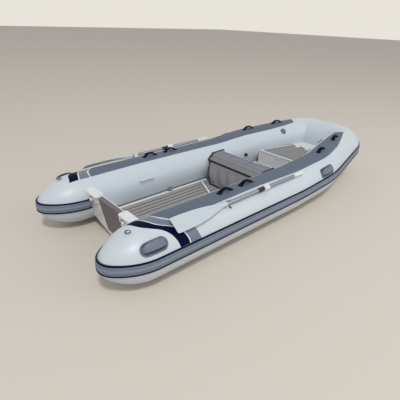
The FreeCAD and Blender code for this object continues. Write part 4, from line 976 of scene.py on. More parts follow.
class TENDER_OT_stripes(Operator):
    """Glued stripes that sweep over each cone, and the patches on top of the tubes"""
    bl_idname = "tender.stripes"
    bl_label = "Stripes and patches"

    def shifted(self, edge, distance):
        """An edge moved forward."""
        return [(s + distance, degrees) for s, degrees in edge]

    def stripe(self, name, aft, fore, finish_name, thick, slot):
        """A thin sheet between two edges, on both tubes."""
        def point(u, v, lift):
            a, b = on_line(aft, u), on_line(fore, u)
            distance, degrees = (p + (q - p) * v for p, q in zip(a, b))
            return skin(distance, degrees, lift - SUNK)

        sheet = blanket(point, 40, 6, (0.0, thick))
        creased(grown(name, *both(*sheet), [finish_name], "boat", slot))

    def patch(self):
        """The patch follows the tube from the stripes to the bow corner, narrowing to a tip."""
        def point(u, v, lift):
            rows = [[start] for start in PATCH_START], [[end] for end in PATCH_END]
            start, end = (on_line(row, v)[0] for row in rows)
            distance = start + (end - start) * u
            inner, outer = edge_degrees(PATCH_INNER, distance), edge_degrees(PATCH_OUTER, distance)
            return skin(distance, inner + (outer - inner) * v, lift - SUNK)

        sheet = blanket(point, 110, 10, (0.0, 0.0034))
        creased(grown("top_patches", *both(*sheet), ["patch"], "boat", "patch_rubber",
                      ("wear_patch_port", "wear_patch_starboard")), 50)

    def execute(self, context):
        self.stripe("navy_stripes", NAVY_AFT, NAVY_FORE, "stripe_navy", 0.0016, "tube_fabric")
        joint = self.shifted(NAVY_FORE, 0.011)
        self.stripe("grey_stripes", joint, GREY_FORE, "stripe_grey", 0.0014, "patch_rubber")
        # narrow white joints on both sides of the grey
        self.stripe("white_pins", NAVY_FORE, joint, "stripe_white", 0.0010, "tube_fabric")
        fore = GREY_FORE[:6]
        self.stripe("white_fore_pins", fore, self.shifted(fore, 0.009), "stripe_white", 0.0010, "tube_fabric")
        self.patch()
        return {"FINISHED"}


# Carrying handles
# columns: place along the handle, height over the patch, width, thickness, all in mm
HANDLE_ROWS = (
    (-88, 1.8, 22, 2.6), (-80, 2.4, 40, 4.5), (-66, 4.0, 44, 7.5), (-54, 11, 38, 10.0), (-42, 23, 35, 11.5),
    (-26, 29.5, 34, 11.5), (0, 31.5, 34, 11.5), (26, 29.5, 34, 11.5), (42, 23, 35, 11.5), (54, 11, 38, 10.0),
    (66, 4.0, 44, 7.5), (80, 2.4, 40, 4.5), (88, 1.8, 22, 2.6),
)


def handle_distances():
    kink_end = bend_start("taper")
    return (1.165, 1.425, kink_end - 0.056, kink_end + 0.409)


class TENDER_OT_handles(Operator):
    """Carrying handles: moulded arches on flat splayed feet"""
    bl_idname = "tender.handles"
    bl_label = "Carrying handles"

    def execute(self, context):
        f = form()
        shapes, spans = [], 42
        for distance in handle_distances():
            rings = []
            for i in range(spans + 1):
                share = i / spans
                along, rise, width, thick = (value * MM for value in on_line(HANDLE_ROWS, share))
                before = on_line(HANDLE_ROWS, max(0, share - 0.01))
                after = on_line(HANDLE_ROWS, min(1, share + 0.01))
                slope = math.atan2(after[1] - before[1], after[0] - before[0])
                station = tube_station(distance + along)
                base = f.radius + 3 * MM
                ring = []
                for across, lift in rounded_ring(width, thick, thick * 0.45, 3):
                    sag = across ** 2 / (2 * base)
                    ring.append(station.at(across, base + rise + lift * math.cos(slope) - sag,
                                           -lift * math.sin(slope)))
                rings.append(ring)
            shapes.append(loft(rings))
        grown("webbed_handles", *both(*joined(shapes)), ["handle"], "boat", "handle_rubber",
              ("carry_handles",))
        return {"FINISHED"}


# Moulded grips on the tubes' outer sides
class TENDER_OT_grips(Operator):
    """Oval grip plates with a stepped rim and a raised bar"""
    bl_idname = "tender.grips"
    bl_label = "Moulded grips"

    def grip(self, name, node, distance, degrees, corner):
        """A plate at a distance along the tube and an angle round it, and the bar over it."""
        f = form()
        half_length, half_width = 0.107, 0.051

        def surface(along, across, lift):
            """Along the tube and round it, above the skin; on a cone the skin falls away aft."""
            turn = degrees + math.degrees(across / f.radius)
            radius = cone_radius(min(distance + along, f.cone)) if distance < f.cone else f.radius
            return tube_station(distance + along).around(radius + lift, turn)

        # columns: rim inset in mm, lift in mm
        steps = ((0, -1.0), (0, 4.0), (2, 6.6), (8, 7.0), (11, 5.0), (15, 2.0), (30, 1.8), (40, 1.8),
                 (49, 1.8))
        rings = []
        for inset, lift in steps:
            outline = rounded_ring(2 * (half_length - inset * MM), 2 * (half_width - inset * MM),
                                   max(corner - inset * MM, 0.0005), 6, 12)
            rings.append([surface(x, y, lift * MM) for x, y in outline])
        plate = loft(rings)
        bar_rings, spans = [], 32
        half_bar, thick, lean = 92 * MM, 9 * MM, 9 * MM
        for i in range(spans + 1):
            share = 2 * i / spans - 1
            arch = math.sqrt(max(0, 1 - abs(share) ** 2.6))
            rise, width = (1 + 27 * arch) * MM, (26 + 31 * arch) * MM
            bar_rings.append([surface(half_bar * share, x + lean * arch, rise + y)
                              for x, y in rounded_ring(width, thick, thick * 0.45, 3)])
        bar = loft(bar_rings)
        # the recess under the bar takes a darker copy of the grip's colour, painted shade under the bar, and
        # the bar takes a lighter copy, painted light
        rim_faces = 4 * len(rings[0])
        shades = [0 if i < rim_faces else 2 for i in range(len(plate[1]))] + [1] * len(bar[1])
        creased(grown(name, *both(*joined([plate, bar])), ["grip", "grip_light", "grip_dark"], "boat",
                      "grip_plastic", (node,), shades * 2), 45)

    def execute(self, context):
        self.grip("stern_grip_mouldings", "stern_grips", 0.327, 37, 0.049)
        self.grip("bow_grip_mouldings", "bow_grips", bend_start("kink") + 0.008, 30, 0.034)
        return {"FINISHED"}


# Hull, deck and floor mats
class TENDER_OT_hull(Operator):
    """Hull bottom, keel guard and non-slip deck"""
    bl_idname = "tender.hull"
    bl_label = "Hull and deck"

    def execute(self, context):
        finish_node("hull_bottom", "gelcoat")
        finish_node("keel_guard", "keel")
        finish_node("deck_floor", "deck")
        self.joints()
        finish_node("bow_platform", "white_plastic")
        return {"FINISHED"}

    def joints(self):
        """A dark strip along each edge of the deck, where the tube meets it: painted shadow of the gap under
        the tube.
        """
        f = form()
        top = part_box("deck_floor")[1].z
        start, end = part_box("transom")[1].x + 0.015 - STERN_X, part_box("locker_box")[0].x - 0.02 - STERN_X
        rings, spans = [], 44
        for i in range(spans + 1):
            distance = start + (end - start) * i / spans
            station = tube_station(distance)
            drop = math.asin((station.pos.z - top) / (f.radius * station.up.z))
            foot = skin(distance, 180 + math.degrees(drop))
            ring = []
            for inward, lift in ((-0.003, -0.0005), (-0.003, 0.0018), (0.010, 0.0018), (0.012, -0.0005)):
                point = foot - station.out * inward
                ring.append(Vector((point.x, point.y, top + lift)))
            rings.append(ring)
        # the strips are painted shadow, drawn in the piping's black
        creased(grown("deck_joints", *both(*loft(rings)), ["piping"], "boat", "deck_foam"))


class TENDER_OT_mats(Operator):
    """Foam mats of bevelled planks inside a white rim, divided by an arrow"""
    bl_idname = "tender.mats"
    bl_label = "Floor mats"

    ARROW = 0.150

    def mat(self, name, node, aft, fore, half_aft, half_fore):
        """Planks whose ends follow the arrow.

        aft and fore give an edge's x for a distance from the middle."""
        low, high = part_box(node)
        rim, groove, top = 0.015, 0.012, high.z - low.z
        pitch = form().plank

        def half_at(x):
            share = (x - low.x) / (high.x - low.x)
            return half_aft + (half_fore - half_aft) * share

        planks, rims = [], []
        count = round(min(half_aft, half_fore) * 2 / pitch)
        for i in range(count):
            y0 = -half_aft + rim + (2 * half_aft - 2 * rim) * i / count
            y1 = -half_aft + rim + (2 * half_aft - 2 * rim) * (i + 1) / count
            spans = [(y0, y1)] if y0 * y1 >= 0 else [(y0, 0.0), (0.0, y1)]
            for a, b in spans:
                left = a + (groove / 2 if a == y0 else 0)
                right = b - (groove / 2 if b == y1 else 0)
                planks.append(self.board(left, right, aft, fore, rim, low.z, top, half_at, half_aft))
        # the grooves show a dark core that fills most of the mat's height
        margin, core_top, thin_rim = 0.002, top * 0.62, 0.006
        cores = [self.board(left, right, aft, fore, margin, low.z, core_top, half_at, half_aft)
                 for left, right in ((margin - half_aft, 0.0), (0.0, half_aft - margin))]
        # the white rim goes round the planks and along the arrow
        corners = [(aft(half_aft), -half_aft), (aft(0), 0), (aft(half_aft), half_aft),
                   (fore(half_aft), half_aft), (fore(0), 0), (fore(half_aft), -half_aft)]
        for i, (x0, y0) in enumerate(corners):
            x1, y1 = corners[(i + 1) % len(corners)]
            ends = [Vector((x, y * half_at(x) / half_aft, low.z)) for x, y in ((x0, y0), (x1, y1))]
            # the two sides of the mat have the wide rim
            rims.append(self.rail(*ends, rim if i in (2, 5) else thin_rim, top + 0.0005))
        piece = grown(name + "_planks", *joined(planks), ["foam"], "boat", "deck_foam", (node,), smooth=False)
        rounded_edges(piece, 0.0012, segments=1)
        grown(name + "_core", *joined(cores), ["foam_line"], "boat", "deck_foam", smooth=False)
        grown(name + "_rim", *joined(rims), ["white_plastic"], "boat", "deck_foam", smooth=False)

    def board(self, left, right, aft, fore, inset, low, thick, half_at, half_aft):
        """A board between two places across the mat, from its aft edge to its fore edge."""
        corners = []
        for x_of, sign in ((aft, 1), (fore, -1)):
            for y in (left, right):
                x = x_of(abs(y)) + sign * inset
                corners.append((x, y * half_at(x) / half_aft))
        ring = [Vector((*corners[i], low)) for i in (0, 1, 3, 2)]
        return loft([ring, [point + Z * thick for point in ring]])

    def rail(self, start, end, width, thick):
        """A strip on the inner side of an edge that runs anticlockwise or clockwise round the mat."""
        centre = Vector((self.middle, 0, start.z))
        along = (end - start).normalized()
        side = Vector((-along.y, along.x, 0))
        if side.dot(centre - (start + end) / 2) < 0:
            side = -side
        ring = [start, end, end + side * width, start + side * width]
        return loft([ring, [point + Z * thick for point in ring]])

    def execute(self, context):
        low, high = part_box("floor_mat_aft")
        half = high.y
        slope = self.ARROW / half
        self.middle = (low.x + high.x) / 2
        split = high.x
        self.mat("aft_mat", "floor_mat_aft", lambda y: low.x,
                 lambda y: split - self.ARROW + slope * y, half, half)
        fore_low, fore_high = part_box("floor_mat_forward")
        self.middle = (split + fore_high.x) / 2
        start = fore_low.x
        self.mat("fore_mat", "floor_mat_forward", lambda y: start + slope * y, lambda y: fore_high.x,
                 half, half * 0.92)
        return {"FINISHED"}


# Transom
class TENDER_OT_transom(Operator):
    """Transom, engine pad and corner brackets, with their screws"""
    bl_idname = "tender.transom"
    bl_label = "Transom"

    def execute(self, context):
        softened("transom", "gelcoat", "boat", "hull_laminate", 0.002)
        softened("engine_pad", "pad", "boat", "engine_pad", 0.002)
        softened("transom_brackets", "white_plastic", "boat", "white_moulding", 0.0025)
        low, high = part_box("transom_brackets")
        rake = math.radians(7)
        facing = Vector((-math.sin(rake), 0, math.cos(rake)))
        line = []
        for sign in (1, -1):
            for y in (0.196, 0.236, 0.280):
                line.append((Vector((low.x + 0.060, sign * y, high.z - 0.0030)), facing))
        repeated("bracket_screws", [line], screw_item(), 0, "steel", "boat", "steel", math.pi)
        return {"FINISHED"}


# Locker
class TENDER_OT_locker(Operator):
    """Locker box with its inset, lid with mat, hinge covers and latch"""
    bl_idname = "tender.locker"
    bl_label = "Bow locker"

    def execute(self, context):
        softened("locker_box", "gelcoat", "boat", "hull_laminate", 0.003)
        softened("locker_lid", "white_plastic", "locker_lid", "white_moulding", 0.004)
        finish_node("lid_mat", "foam_lid")
        finish_node("lid_hinge_knuckles", "white_plastic")
        finish_node("lid_hinge_leaves", "white_plastic")
        finish_node("locker_latch", "white_plastic")
        self.inset()
        self.mat_border()
        self.hinge_covers()
        self.drain_knob()
        self.lid_tab()
        return {"FINISHED"}

    def drain_knob(self):
        """A black knob on a white oval plate, low on the locker's aft face."""
        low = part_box("locker_box")[0]
        centre = Vector((low.x, -0.041, low.z + 0.034))
        plate = loft([[centre + Vector((-depth, y, z))
                       for y, z in rounded_ring(0.066 - trim, 0.044 - trim, 0.021, 6)]
                      for depth, trim in ((-0.001, 0), (0.003, 0), (0.0042, 0.003))])
        grown("drain_plate", *plate, ["white_plastic"], "boat", "white_moulding")
        profile = ((0.015, 0.003), (0.015, 0.009), (0.0175, 0.011), (0.0175, 0.020), (0.015, 0.023),
                   (0.003, 0.024))
        knob = turned_shape(profile, centre, -X, 28)
        creased(grown("drain_knob", *knob, ["black_plastic"], "boat", "black_plastic"), 40)

    def lid_tab(self):
        """A small white finger tab at the port edge of the lid's mat."""
        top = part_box("locker_lid")[1].z
        centre = Vector((1.026, 0.216, top))
        rings = [[centre + Vector((x, y, lift))
                  for x, y in rounded_ring(0.046 - trim, 0.026 - trim, 0.010, 4)]
                 for lift, trim in ((-0.001, 0), (0.008, 0), (0.010, 0.005))]
        grown("lid_tab", *loft(rings), ["white_plastic"], "locker_lid", "white_moulding")

    def inset(self):
        """A tinted panel in the recess of the aft face."""
        low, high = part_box("locker_box")
        half, rise = high.y - 0.066, (high.z - low.z)
        rings = []
        for depth in (0.0019, 0.0010):
            rings.append([Vector((low.x + depth, y, low.z + rise * 0.48 + z))
                          for y, z in rounded_ring(2 * half, rise * 0.60, 0.012, 4)])
        creased(grown("locker_inset", *loft(rings), ["inset"], "boat", "hull_laminate"))

    def mat_border(self):
        """A dark line round the lid's mat."""
        points = [vertex.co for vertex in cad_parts["lid_mat"].data.vertices]
        top = max(point.z for point in points)
        low_x, high_x = min(point.x for point in points), max(point.x for point in points)
        aft = max(point.y for point in points if point.x < low_x + 1e-4)
        fore = max(point.y for point in points if point.x > high_x - 1e-4)
        inset, wide, rise = 0.010, 0.0035, 0.0016
        outer = [(low_x + inset, -aft + inset), (high_x - inset, -fore + inset),
                 (high_x - inset, fore - inset), (low_x + inset, aft - inset)]
        inner = [(x + math.copysign(wide, (low_x + high_x) / 2 - x), y - math.copysign(wide, y))
                 for x, y in outer]
        strips = []
        for i in range(4):
            j = (i + 1) % 4
            base = [Vector((*corner, top - 0.001)) for corner in (outer[i], outer[j], inner[j], inner[i])]
            strips.append(loft([base, [point + Z * rise for point in base]]))
        grown("lid_mat_border", *joined(strips), ["foam_line"], "locker_lid", "deck_foam", smooth=False)

    def hinge_covers(self):
        """Oval caps over the hinges' leaves, the foam strip beside them, and a dark strip behind them that is
        painted shade in the gap to the platform.
        """
        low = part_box("lid_hinge_leaves")[0]
        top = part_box("locker_lid")[1].z
        shapes = []
        for sign in (-1, 1):
            centre = Vector((low.x - 0.011, sign * 0.0725, top))
            rings = []
            for i in range(7):
                angle = math.radians(90 * i / 6.3)
                share, rise = math.cos(angle), math.sin(angle)
                rings.append([centre + Vector((x * share, y * share, 0.013 * rise - 0.001))
                              for x, y in rounded_ring(0.042, 0.066, 0.021, 6)])
            shapes.append(loft(rings))
        grown("hinge_covers", *joined(shapes), ["white_plastic"], "locker_lid", "white_moulding")
        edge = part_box("locker_lid")[1].x
        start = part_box("lid_mat")[1].x - 0.001
        pad = slab(Vector((start, -0.146, top - 0.001)), Vector((edge - 0.002, 0.146, top + 0.0016)))
        grown("hinge_mat", *pad, ["foam_lid"], "locker_lid", "deck_foam", smooth=False)
        # a dark block in the gap between the lid and the platform: painted shade
        step_low, step_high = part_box("bow_platform")
        half = step_high.y - 0.004
        gap_shade = slab(Vector((edge + 0.002, -half, top - 0.016)),
                    Vector((step_low.x - 0.0005, half, top - 0.001)))
        grown("lid_seal", *gap_shade, ["piping"], "boat", "deck_foam", smooth=False)


# Seat
def evened(piece):
    """One level of subdivision over a coarse skin."""
    smooth = piece.modifiers.new("Even", "SUBSURF")
    smooth.levels = smooth.render_levels = 1


def puffed(name, node, shrink, cap, pressure=4.0, voxel=0.006):
    """A closed copy of a soft node, swollen by cloth pressure with each point's travel capped."""
    mesh = settled(node)
    piece = bpy.data.objects.new(name, mesh)
    bpy.context.scene.collection.objects.link(piece)
    low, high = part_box(node)
    centre = (low + high) / 2
    for vertex in mesh.vertices:
        away = vertex.co - centre
        for axis in range(3):
            half = (high[axis] - low[axis]) / 2
            away[axis] *= (half - shrink) / half
        vertex.co = centre + away
    remesh = piece.modifiers.new("Even", "REMESH")
    remesh.mode, remesh.voxel_size = "VOXEL", voxel
    even = bpy.data.meshes.new_from_object(piece.evaluated_get(bpy.context.evaluated_depsgraph_get()))
    piece.modifiers.clear()
    piece.data = even
    before = [vertex.co.copy() for vertex in even.vertices]
    foot = piece.vertex_groups.new(name="Foot")
    base = min(vertex.co.z for vertex in even.vertices) + 0.014
    foot.add([vertex.index for vertex in even.vertices if vertex.co.z < base], 1.0, "REPLACE")
    cloth = piece.modifiers.new("Swell", "CLOTH")
    cloth.settings.vertex_group_mass = "Foot"
    cloth.settings.use_pressure = True
    cloth.settings.uniform_pressure_force = pressure
    cloth.settings.effector_weights.gravity = 0
    cloth.settings.quality = 5
    scene = bpy.context.scene
    cloth.point_cache.frame_start, cloth.point_cache.frame_end = 1, 20
    for number in range(1, 21):
        scene.frame_set(number)
    swollen = piece.evaluated_get(bpy.context.evaluated_depsgraph_get()).data
    after = [vertex.co.copy() for vertex in swollen.vertices]
    piece.modifiers.clear()
    scene.frame_set(1)
    for vertex, start, end in zip(piece.data.vertices, before, after):
        move = end - start
        if move.length > cap:
            move *= cap / move.length
        vertex.co = start + move
    return piece


class TENDER_OT_seat(Operator):
    """Seat cushion swollen by cloth pressure, with sewn channels, piping and stitches"""
    bl_idname = "tender.seat"
    bl_label = "Seat cushion"

    def execute(self, context):
        finish_node("seat_board", "white_plastic")
        low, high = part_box("seat_cushion")
        board_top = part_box("seat_board")[1].z
        piece = puffed("padded_cushion", "seat_cushion", 0.007, 0.010)
        mesh = piece.data
        ridge = low.x + 0.100
        # the sewn channels: x of those that run across the boat, y of those that run along it
        channels = [ridge - 0.048, ridge + 0.006, ridge + 0.085]
        crossings = [-0.125, 0.125]
        half_wide, depth, clear = 0.0065, 0.0042, 0.0003
        for vertex in mesh.vertices:
            if vertex.co.z > board_top + 0.010:
                pull = sum(math.exp(-((vertex.co.x - x) / half_wide) ** 2) for x in channels)
                if vertex.co.x > ridge:
                    pull += sum(math.exp(-((vertex.co.y - y) / half_wide) ** 2) for y in crossings)
                lean = min(1.0, max(0.0, (ridge - vertex.co.x) / 0.05))
                inward = Vector((0.6 * lean, 0, -1)).normalized()
                vertex.co += inward * (depth * min(pull, 1.2))
            # the foot rests on the board, apart from the lip that hangs aft of it
            if vertex.co.x > low.x + 0.034 and vertex.co.z < board_top + clear:
                vertex.co.z = board_top + clear
        adopted(piece, ["vinyl_top", "vinyl_slope"], "boat", "cushion_vinyl", ("seat_cushion",))
        bend_x = ridge + 0.004
        mesh.polygons.foreach_set("material_index", [int(face.center.x < bend_x) for face in mesh.polygons])
        mesh.polygons.foreach_set("use_smooth", [True] * len(mesh.polygons))
        evened(piece)
        tree = BVHTree.FromPolygons([vertex.co for vertex in mesh.vertices],
                                    [face.vertices[:] for face in mesh.polygons])
        self.piping(tree, low, high)
        self.stitches(tree, high, ridge, channels, crossings)
        return {"FINISHED"}

    def piping(self, tree, low, high):
        """Black piping along the lower aft edge and round both ends."""
        def sewn(target):
            """A point drawn in from its place towards the swollen skin."""
            return tree.find_nearest(target)[0].lerp(target, 0.4)

        rise, end, spans = high.z - low.z, 0.026, 48
        aft = []
        for i in range(spans + 1):
            y = low.y + end + (high.y - low.y - 2 * end) * i / spans
            aft.append(sewn(Vector((low.x + 0.002, y, low.z + 0.008))))
        shapes = [piped(aft, 0.0092)]
        # columns: x from the aft edge, z above the cushion's foot
        outline = ((0.004, 0.006), (0.050, 0.038), (0.098, rise - 0.002), (0.180, rise),
                   (high.x - low.x - 0.006, rise - 0.004), (high.x - low.x - 0.002, 0.020))
        spans = 40
        for sign in (-1, 1):
            ends = []
            for i in range(spans + 1):
                x, z = on_line(outline, i / spans)
                ends.append(sewn(Vector((low.x + x, sign * 0.366, low.z + z))))
            shapes.append(piped(ends, 0.0095))
        grown("cushion_piping", *joined(shapes), ["piping"], "boat", "cushion_vinyl")

    def stitches(self, tree, high, ridge, channels, crossings):
        """Rows of stitches beside each channel."""
        lines = []
        for x in channels:
            for offset in (-0.009, 0.009):
                lines.append([(x + offset, y / 100) for y in range(-33, 34, 2)])
        for y in crossings:
            for offset in (-0.009, 0.009):
                lines.append([(ridge + 0.02 + i * 0.01, y + offset) for i in range(14)])
        placed = []
        for line in lines:
            row = []
            for x, y in line:
                hit, normal = tree.ray_cast(Vector((x, y, high.z + 0.1)), -Z)[:2]
                if hit is not None:
                    row.append((hit - normal * 0.0002, normal))
            if len(row) > 1:
                placed.append(row)
        repeated("seat_stitches", placed, stitch_item(), form().stitch, "thread", "boat", "cushion_vinyl")


class TENDER_OT_bag(Operator):
    """Bag that hangs under the seat, with folds that open towards its foot, and black piping"""
    bl_idname = "tender.bag"
    bl_label = "Bag"

    def outline(self, drop):
        """Ring of the bag at a share of its height below the seat."""
        low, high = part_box("underseat_bag")
        aft, fore = low.x + 0.107 * (1 - drop), high.x - 0.085 * drop
        half_top, half_foot = high.y, 0.190
        half_wide = half_top + (half_foot - half_top) * drop
        half_long = (fore - aft) / 2
        slack = math.sin(math.pi * min(1, drop * 1.15)) if drop < 0.87 else 0.0
        sag = 0.012 * slack
        z = high.z - (high.z - low.z) * drop
        ring, count = [], 132
        for k in range(count):
            x, y = self.around(k / count, half_long, half_wide)
            if abs(x) > half_long - 0.02:
                fold = math.sin(y * 38 + 5.0 * drop + 1.3 * math.sin(y * 9))
                fold += 0.4 * math.sin(y * 77 - 4.0 * drop + 2.2)
                depth = 0.0165 * (0.25 + drop) * (fold - 1.0) * slack
                x += math.copysign(depth - sag, x)
            else:
                x += math.copysign(0.1 * sag, x)
                y += math.copysign(0.8 * sag, y)
            ring.append(Vector(((fore + aft) / 2 + x, y, z)))
        return ring

    def around(self, share, half_x, half_y):
        """A rounded rectangle by share of its way round."""
        radius = 0.030
        sides = [2 * (half_y - radius), 2 * (half_x - radius)] * 2
        corner = math.pi / 2 * radius
        total = sum(sides) + 4 * corner
        place = share * total
        corners = ((half_x - radius, half_y - radius), (-half_x + radius, half_y - radius),
                   (-half_x + radius, -half_y + radius), (half_x - radius, -half_y + radius))
        starts = ((half_x, -half_y + radius, 0, 1), (half_x - radius, half_y, -1, 0),
                  (-half_x, half_y - radius, 0, -1), (-half_x + radius, -half_y, 1, 0))
        for i in range(4):
            x, y, dx, dy = starts[i]
            if place <= sides[i]:
                return x + dx * place, y + dy * place
            place -= sides[i]
            if place <= corner:
                angle = math.radians(90 * i) + place / radius
                cx, cy = corners[i]
                return cx + radius * math.cos(angle), cy + radius * math.sin(angle)
            place -= corner
        return starts[0][0], starts[0][1]

    def execute(self, context):
        rows = 26
        rings = [self.outline(i / rows) for i in range(rows + 1)]
        piece = grown("seat_bag", *loft(rings), ["bag"], "boat", "bag_vinyl", ("underseat_bag",))
        evened(creased(piece, 60))
        self.piping(rings)
        return {"FINISHED"}

    def piping(self, rings):
        """Black piping down the aft corners and round the foot."""
        top = rings[0]
        shapes = []
        for sign in (-1, 1):
            corner = min(range(len(top)), key=lambda k: top[k].x - 2.2 * sign * top[k].y)
            line = [ring[corner] + Vector((-0.002, sign * 0.003, 0)) for ring in rings[1:]]
            shapes.append(piped(line, 0.0100))
        foot = [point + Z * 0.004 for point in rings[-2]]
        shapes.append(piped(foot, 0.0068, closed=True))
        grown("bag_piping", *joined(shapes), ["piping"], "boat", "bag_vinyl")


# Oars
def oar_point(x, y, z, side, axis_lift=0.030):
    """A point from the oar's own frame: x from the stern tips, y down and outboard, z out of the tube."""
    f = form()
    turn = math.radians(56)
    reach = f.radius + axis_lift
    out = f.spread + reach * math.cos(turn) + y * math.sin(turn) + z * math.cos(turn)
    up = f.height + reach * math.sin(turn) - y * math.cos(turn) + z * math.sin(turn)
    return Vector((STERN_X + x, side * out, up))


# columns: share from neck to tip, half width inboard, half width outboard, both in mm
BLADE_ROWS = (
    (0.0, 18, 18), (0.06, 18.5, 19), (0.16, 24, 26), (0.30, 35, 42), (0.45, 46, 57), (0.60, 53, 66),
    (0.75, 57, 69), (0.88, 60, 70), (0.96, 60, 69), (0.985, 59, 67), (0.996, 56, 63), (1.0, 53, 59),
)


class TENDER_OT_oars(Operator):
    """Oars: spooned blades, anodised shafts, ribbed grips, sleeves, collars and their rests"""
    bl_idname = "tender.oars"
    bl_label = "Oars"

    def turned(self, rows, count, sign):
        """A round shape along the oar from pairs of its place and its radius in mm."""
        turns = [math.tau * k / count for k in range(count)]
        return loft([[oar_point(x, radius * MM * math.cos(turn), radius * MM * math.sin(turn), sign)
                      for turn in turns] for x, radius in rows])

    def blade(self, side, sign):
        """A spooned blade with its ribs, on the ferrule that holds it."""
        low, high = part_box("oar_blade_" + side)
        neck, reach = high.x - STERN_X, high.x - low.x + 0.018

        def point(u, v, face):
            share, inboard, outboard = on_line(BLADE_ROWS, u)
            share = min(max(share, 0.0), 1.0)
            across = (-inboard + (inboard + outboard) * v) * MM
            edge = 1 - (2 * v - 1) ** 2
            thick = (2.0 + 2.0 * edge ** 0.5) * MM
            spine = 12 * MM * max(0.0, 1 - share * 1.5) * math.exp(-(across / (0.016 + 0.01 * share)) ** 2)
            ribs = sum(math.exp(-((across - place) / 0.0045) ** 2) for place in (-0.034, 0.0, 0.036))
            rib = 1.5 * MM * ribs * min(1, 3 * (1 - share)) * min(1, 4 * share)
            dish = 5 * MM * math.sin(math.pi * share) * (1 - edge)
            rise = (thick / 2 + spine + rib) * face + dish
            return oar_point(neck - share * reach, across, rise, sign)

        # columns: place along the oar from the neck, radius in mm
        ferrule = ((0.0, 18), (-0.002, 19.5), (-0.012, 19.5), (-0.016, 18), (-0.088, 17.5), (-0.12, 14),
                   (-0.15, 7))
        neck_shape = self.turned([(neck + x, radius) for x, radius in ferrule], 24, sign)
        shape = joined([blanket(point, 40, 28, (1, -1)), neck_shape])
        creased(grown(side + "_blade", *shape, ["blade"], side + "_oar", "blade_plastic",
                      ("oar_blade_" + side,)), 50)

    def grip(self, side, sign):
        """A handle with ribs round it and a rounded end."""
        low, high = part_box("oar_grip_" + side)
        start, reach = low.x - STERN_X, high.x - low.x
        # columns: share of the length, radius in mm
        rows = [(0.0, 16.6), (0.015, 18), (0.04, 18)]
        ribs = 11
        for i in range(ribs):
            base = 0.08 + 0.72 * i / ribs
            rows += [(base, 18), (base + 0.012, 16.8), (base + 0.030, 16.8), (base + 0.042, 18)]
        rows += [(0.86, 17.6), (0.93, 17.8), (0.975, 16), (0.995, 11), (1.0, 4)]
        shape = self.turned([(start + share * reach, radius) for share, radius in rows], 28, sign)
        creased(grown(side + "_grip", *shape, ["white_plastic"], side + "_oar", "white_moulding",
                      ("oar_grip_" + side,)), 50)

    def execute(self, context):
        for side, sign in SIDES:
            self.blade(side, sign)
            self.grip(side, sign)
            finish_node("oar_shaft_" + side, "oar_alloy")
            softened("oar_sleeve_" + side, "white_plastic", side + "_oar", "white_moulding", 0.002)
            finish_node("oar_collar_" + side, "navy_plastic")
        rests = (("rowlocks", "navy_plastic", "white_plastic"), ("oar_clips", "white_moulding", "hook"))
        for node, slot, upper in rests:
            piece = softened(node, "tape", "boat", slot, 0.0015)
            for name in (upper, "black_plastic"):
                piece.data.materials.append(finish(name))
            by_height(piece.data, 0.0085)
            # what stands on the foot is black up to a share of the whole height
            low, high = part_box(node)
            for face in piece.data.polygons:
                if face.material_index and face.center.z < low.z + 0.4 * (high.z - low.z):
                    face.material_index = 2
        return {"FINISHED"}


# Fittings
class TENDER_OT_fittings(Operator):
    """Valves, lifting eyes, rings, towing eye and seat strips"""
    bl_idname = "tender.fittings"
    bl_label = "Fittings"

    def execute(self, context):
        self.valves()
        self.eyes()
        finish_node("stern_rings", "tape", "dark_steel")
        by_height(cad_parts["stern_rings"].data, 0.0062)
        finish_node("bow_towing_eye", "steel")
        softened("seat_strips", "tape", "boat", "tube_fabric", 0.0015)
        return {"FINISHED"}

    def eyes(self):
        """Black feet with bright eyes standing on them."""
        finish_node("lifting_eyes", "black_plastic", "steel")
        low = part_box("lifting_eyes")[0]
        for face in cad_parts["lifting_eyes"].data.polygons:
            face.material_index = int(face.center.z > low.z + 0.012)

    def valves(self):
        """Screw-capped valves near the bow and black plugs ahead of the seat."""
        f = form()
        rows = ((bend_start("kink") - 0.054, 179, "plug"), (bend_start("taper") + 0.401, 136, "valve"))
        # columns: radius and height over the skin in mm
        profiles = {
            "plug": ((23, -2), (23, 2.5), (21, 4), (18, 4), (17, 6), (17, 22), (15, 27), (10, 28), (2, 28)),
            "valve": ((40, -2), (40, 2.5), (38, 4), (29, 4), (28, 2.6), (27, 2.6), (27, 8), (25, 9), (20, 9),
                      (19, 7), (8, 7), (7, 9), (1, 9)),
        }
        count = 40
        for distance, degrees, kind in rows:
            station = tube_station(distance)
            angle = math.radians(degrees)
            normal = station.out * math.cos(angle) + station.up * math.sin(angle)
            centre = station.pos + normal * f.radius
            profile = [(radius * MM, height * MM) for radius, height in profiles[kind]]
            vertices, faces = turned_shape(profile, centre, normal, count)
            # the flange is the first four rings
            for i in range(4 * count):
                vertices[i] = self.laid(vertices[i], station, f.radius)
            replaced = ("valves",) if kind == "valve" else ()
            name = "black_plastic" if kind == "plug" else "grip"
            creased(grown("air_" + kind + "s", *both(vertices, faces), [name], "boat", "black_plastic",
                          replaced), 40)

    def laid(self, point, station, radius):
        """Bends a flange's point down onto the tube."""
        away = point - station.pos
        across = away - station.along * away.dot(station.along)
        highest = radius + 0.0035
        return point + across.normalized() * min(0.0, highest - across.length)


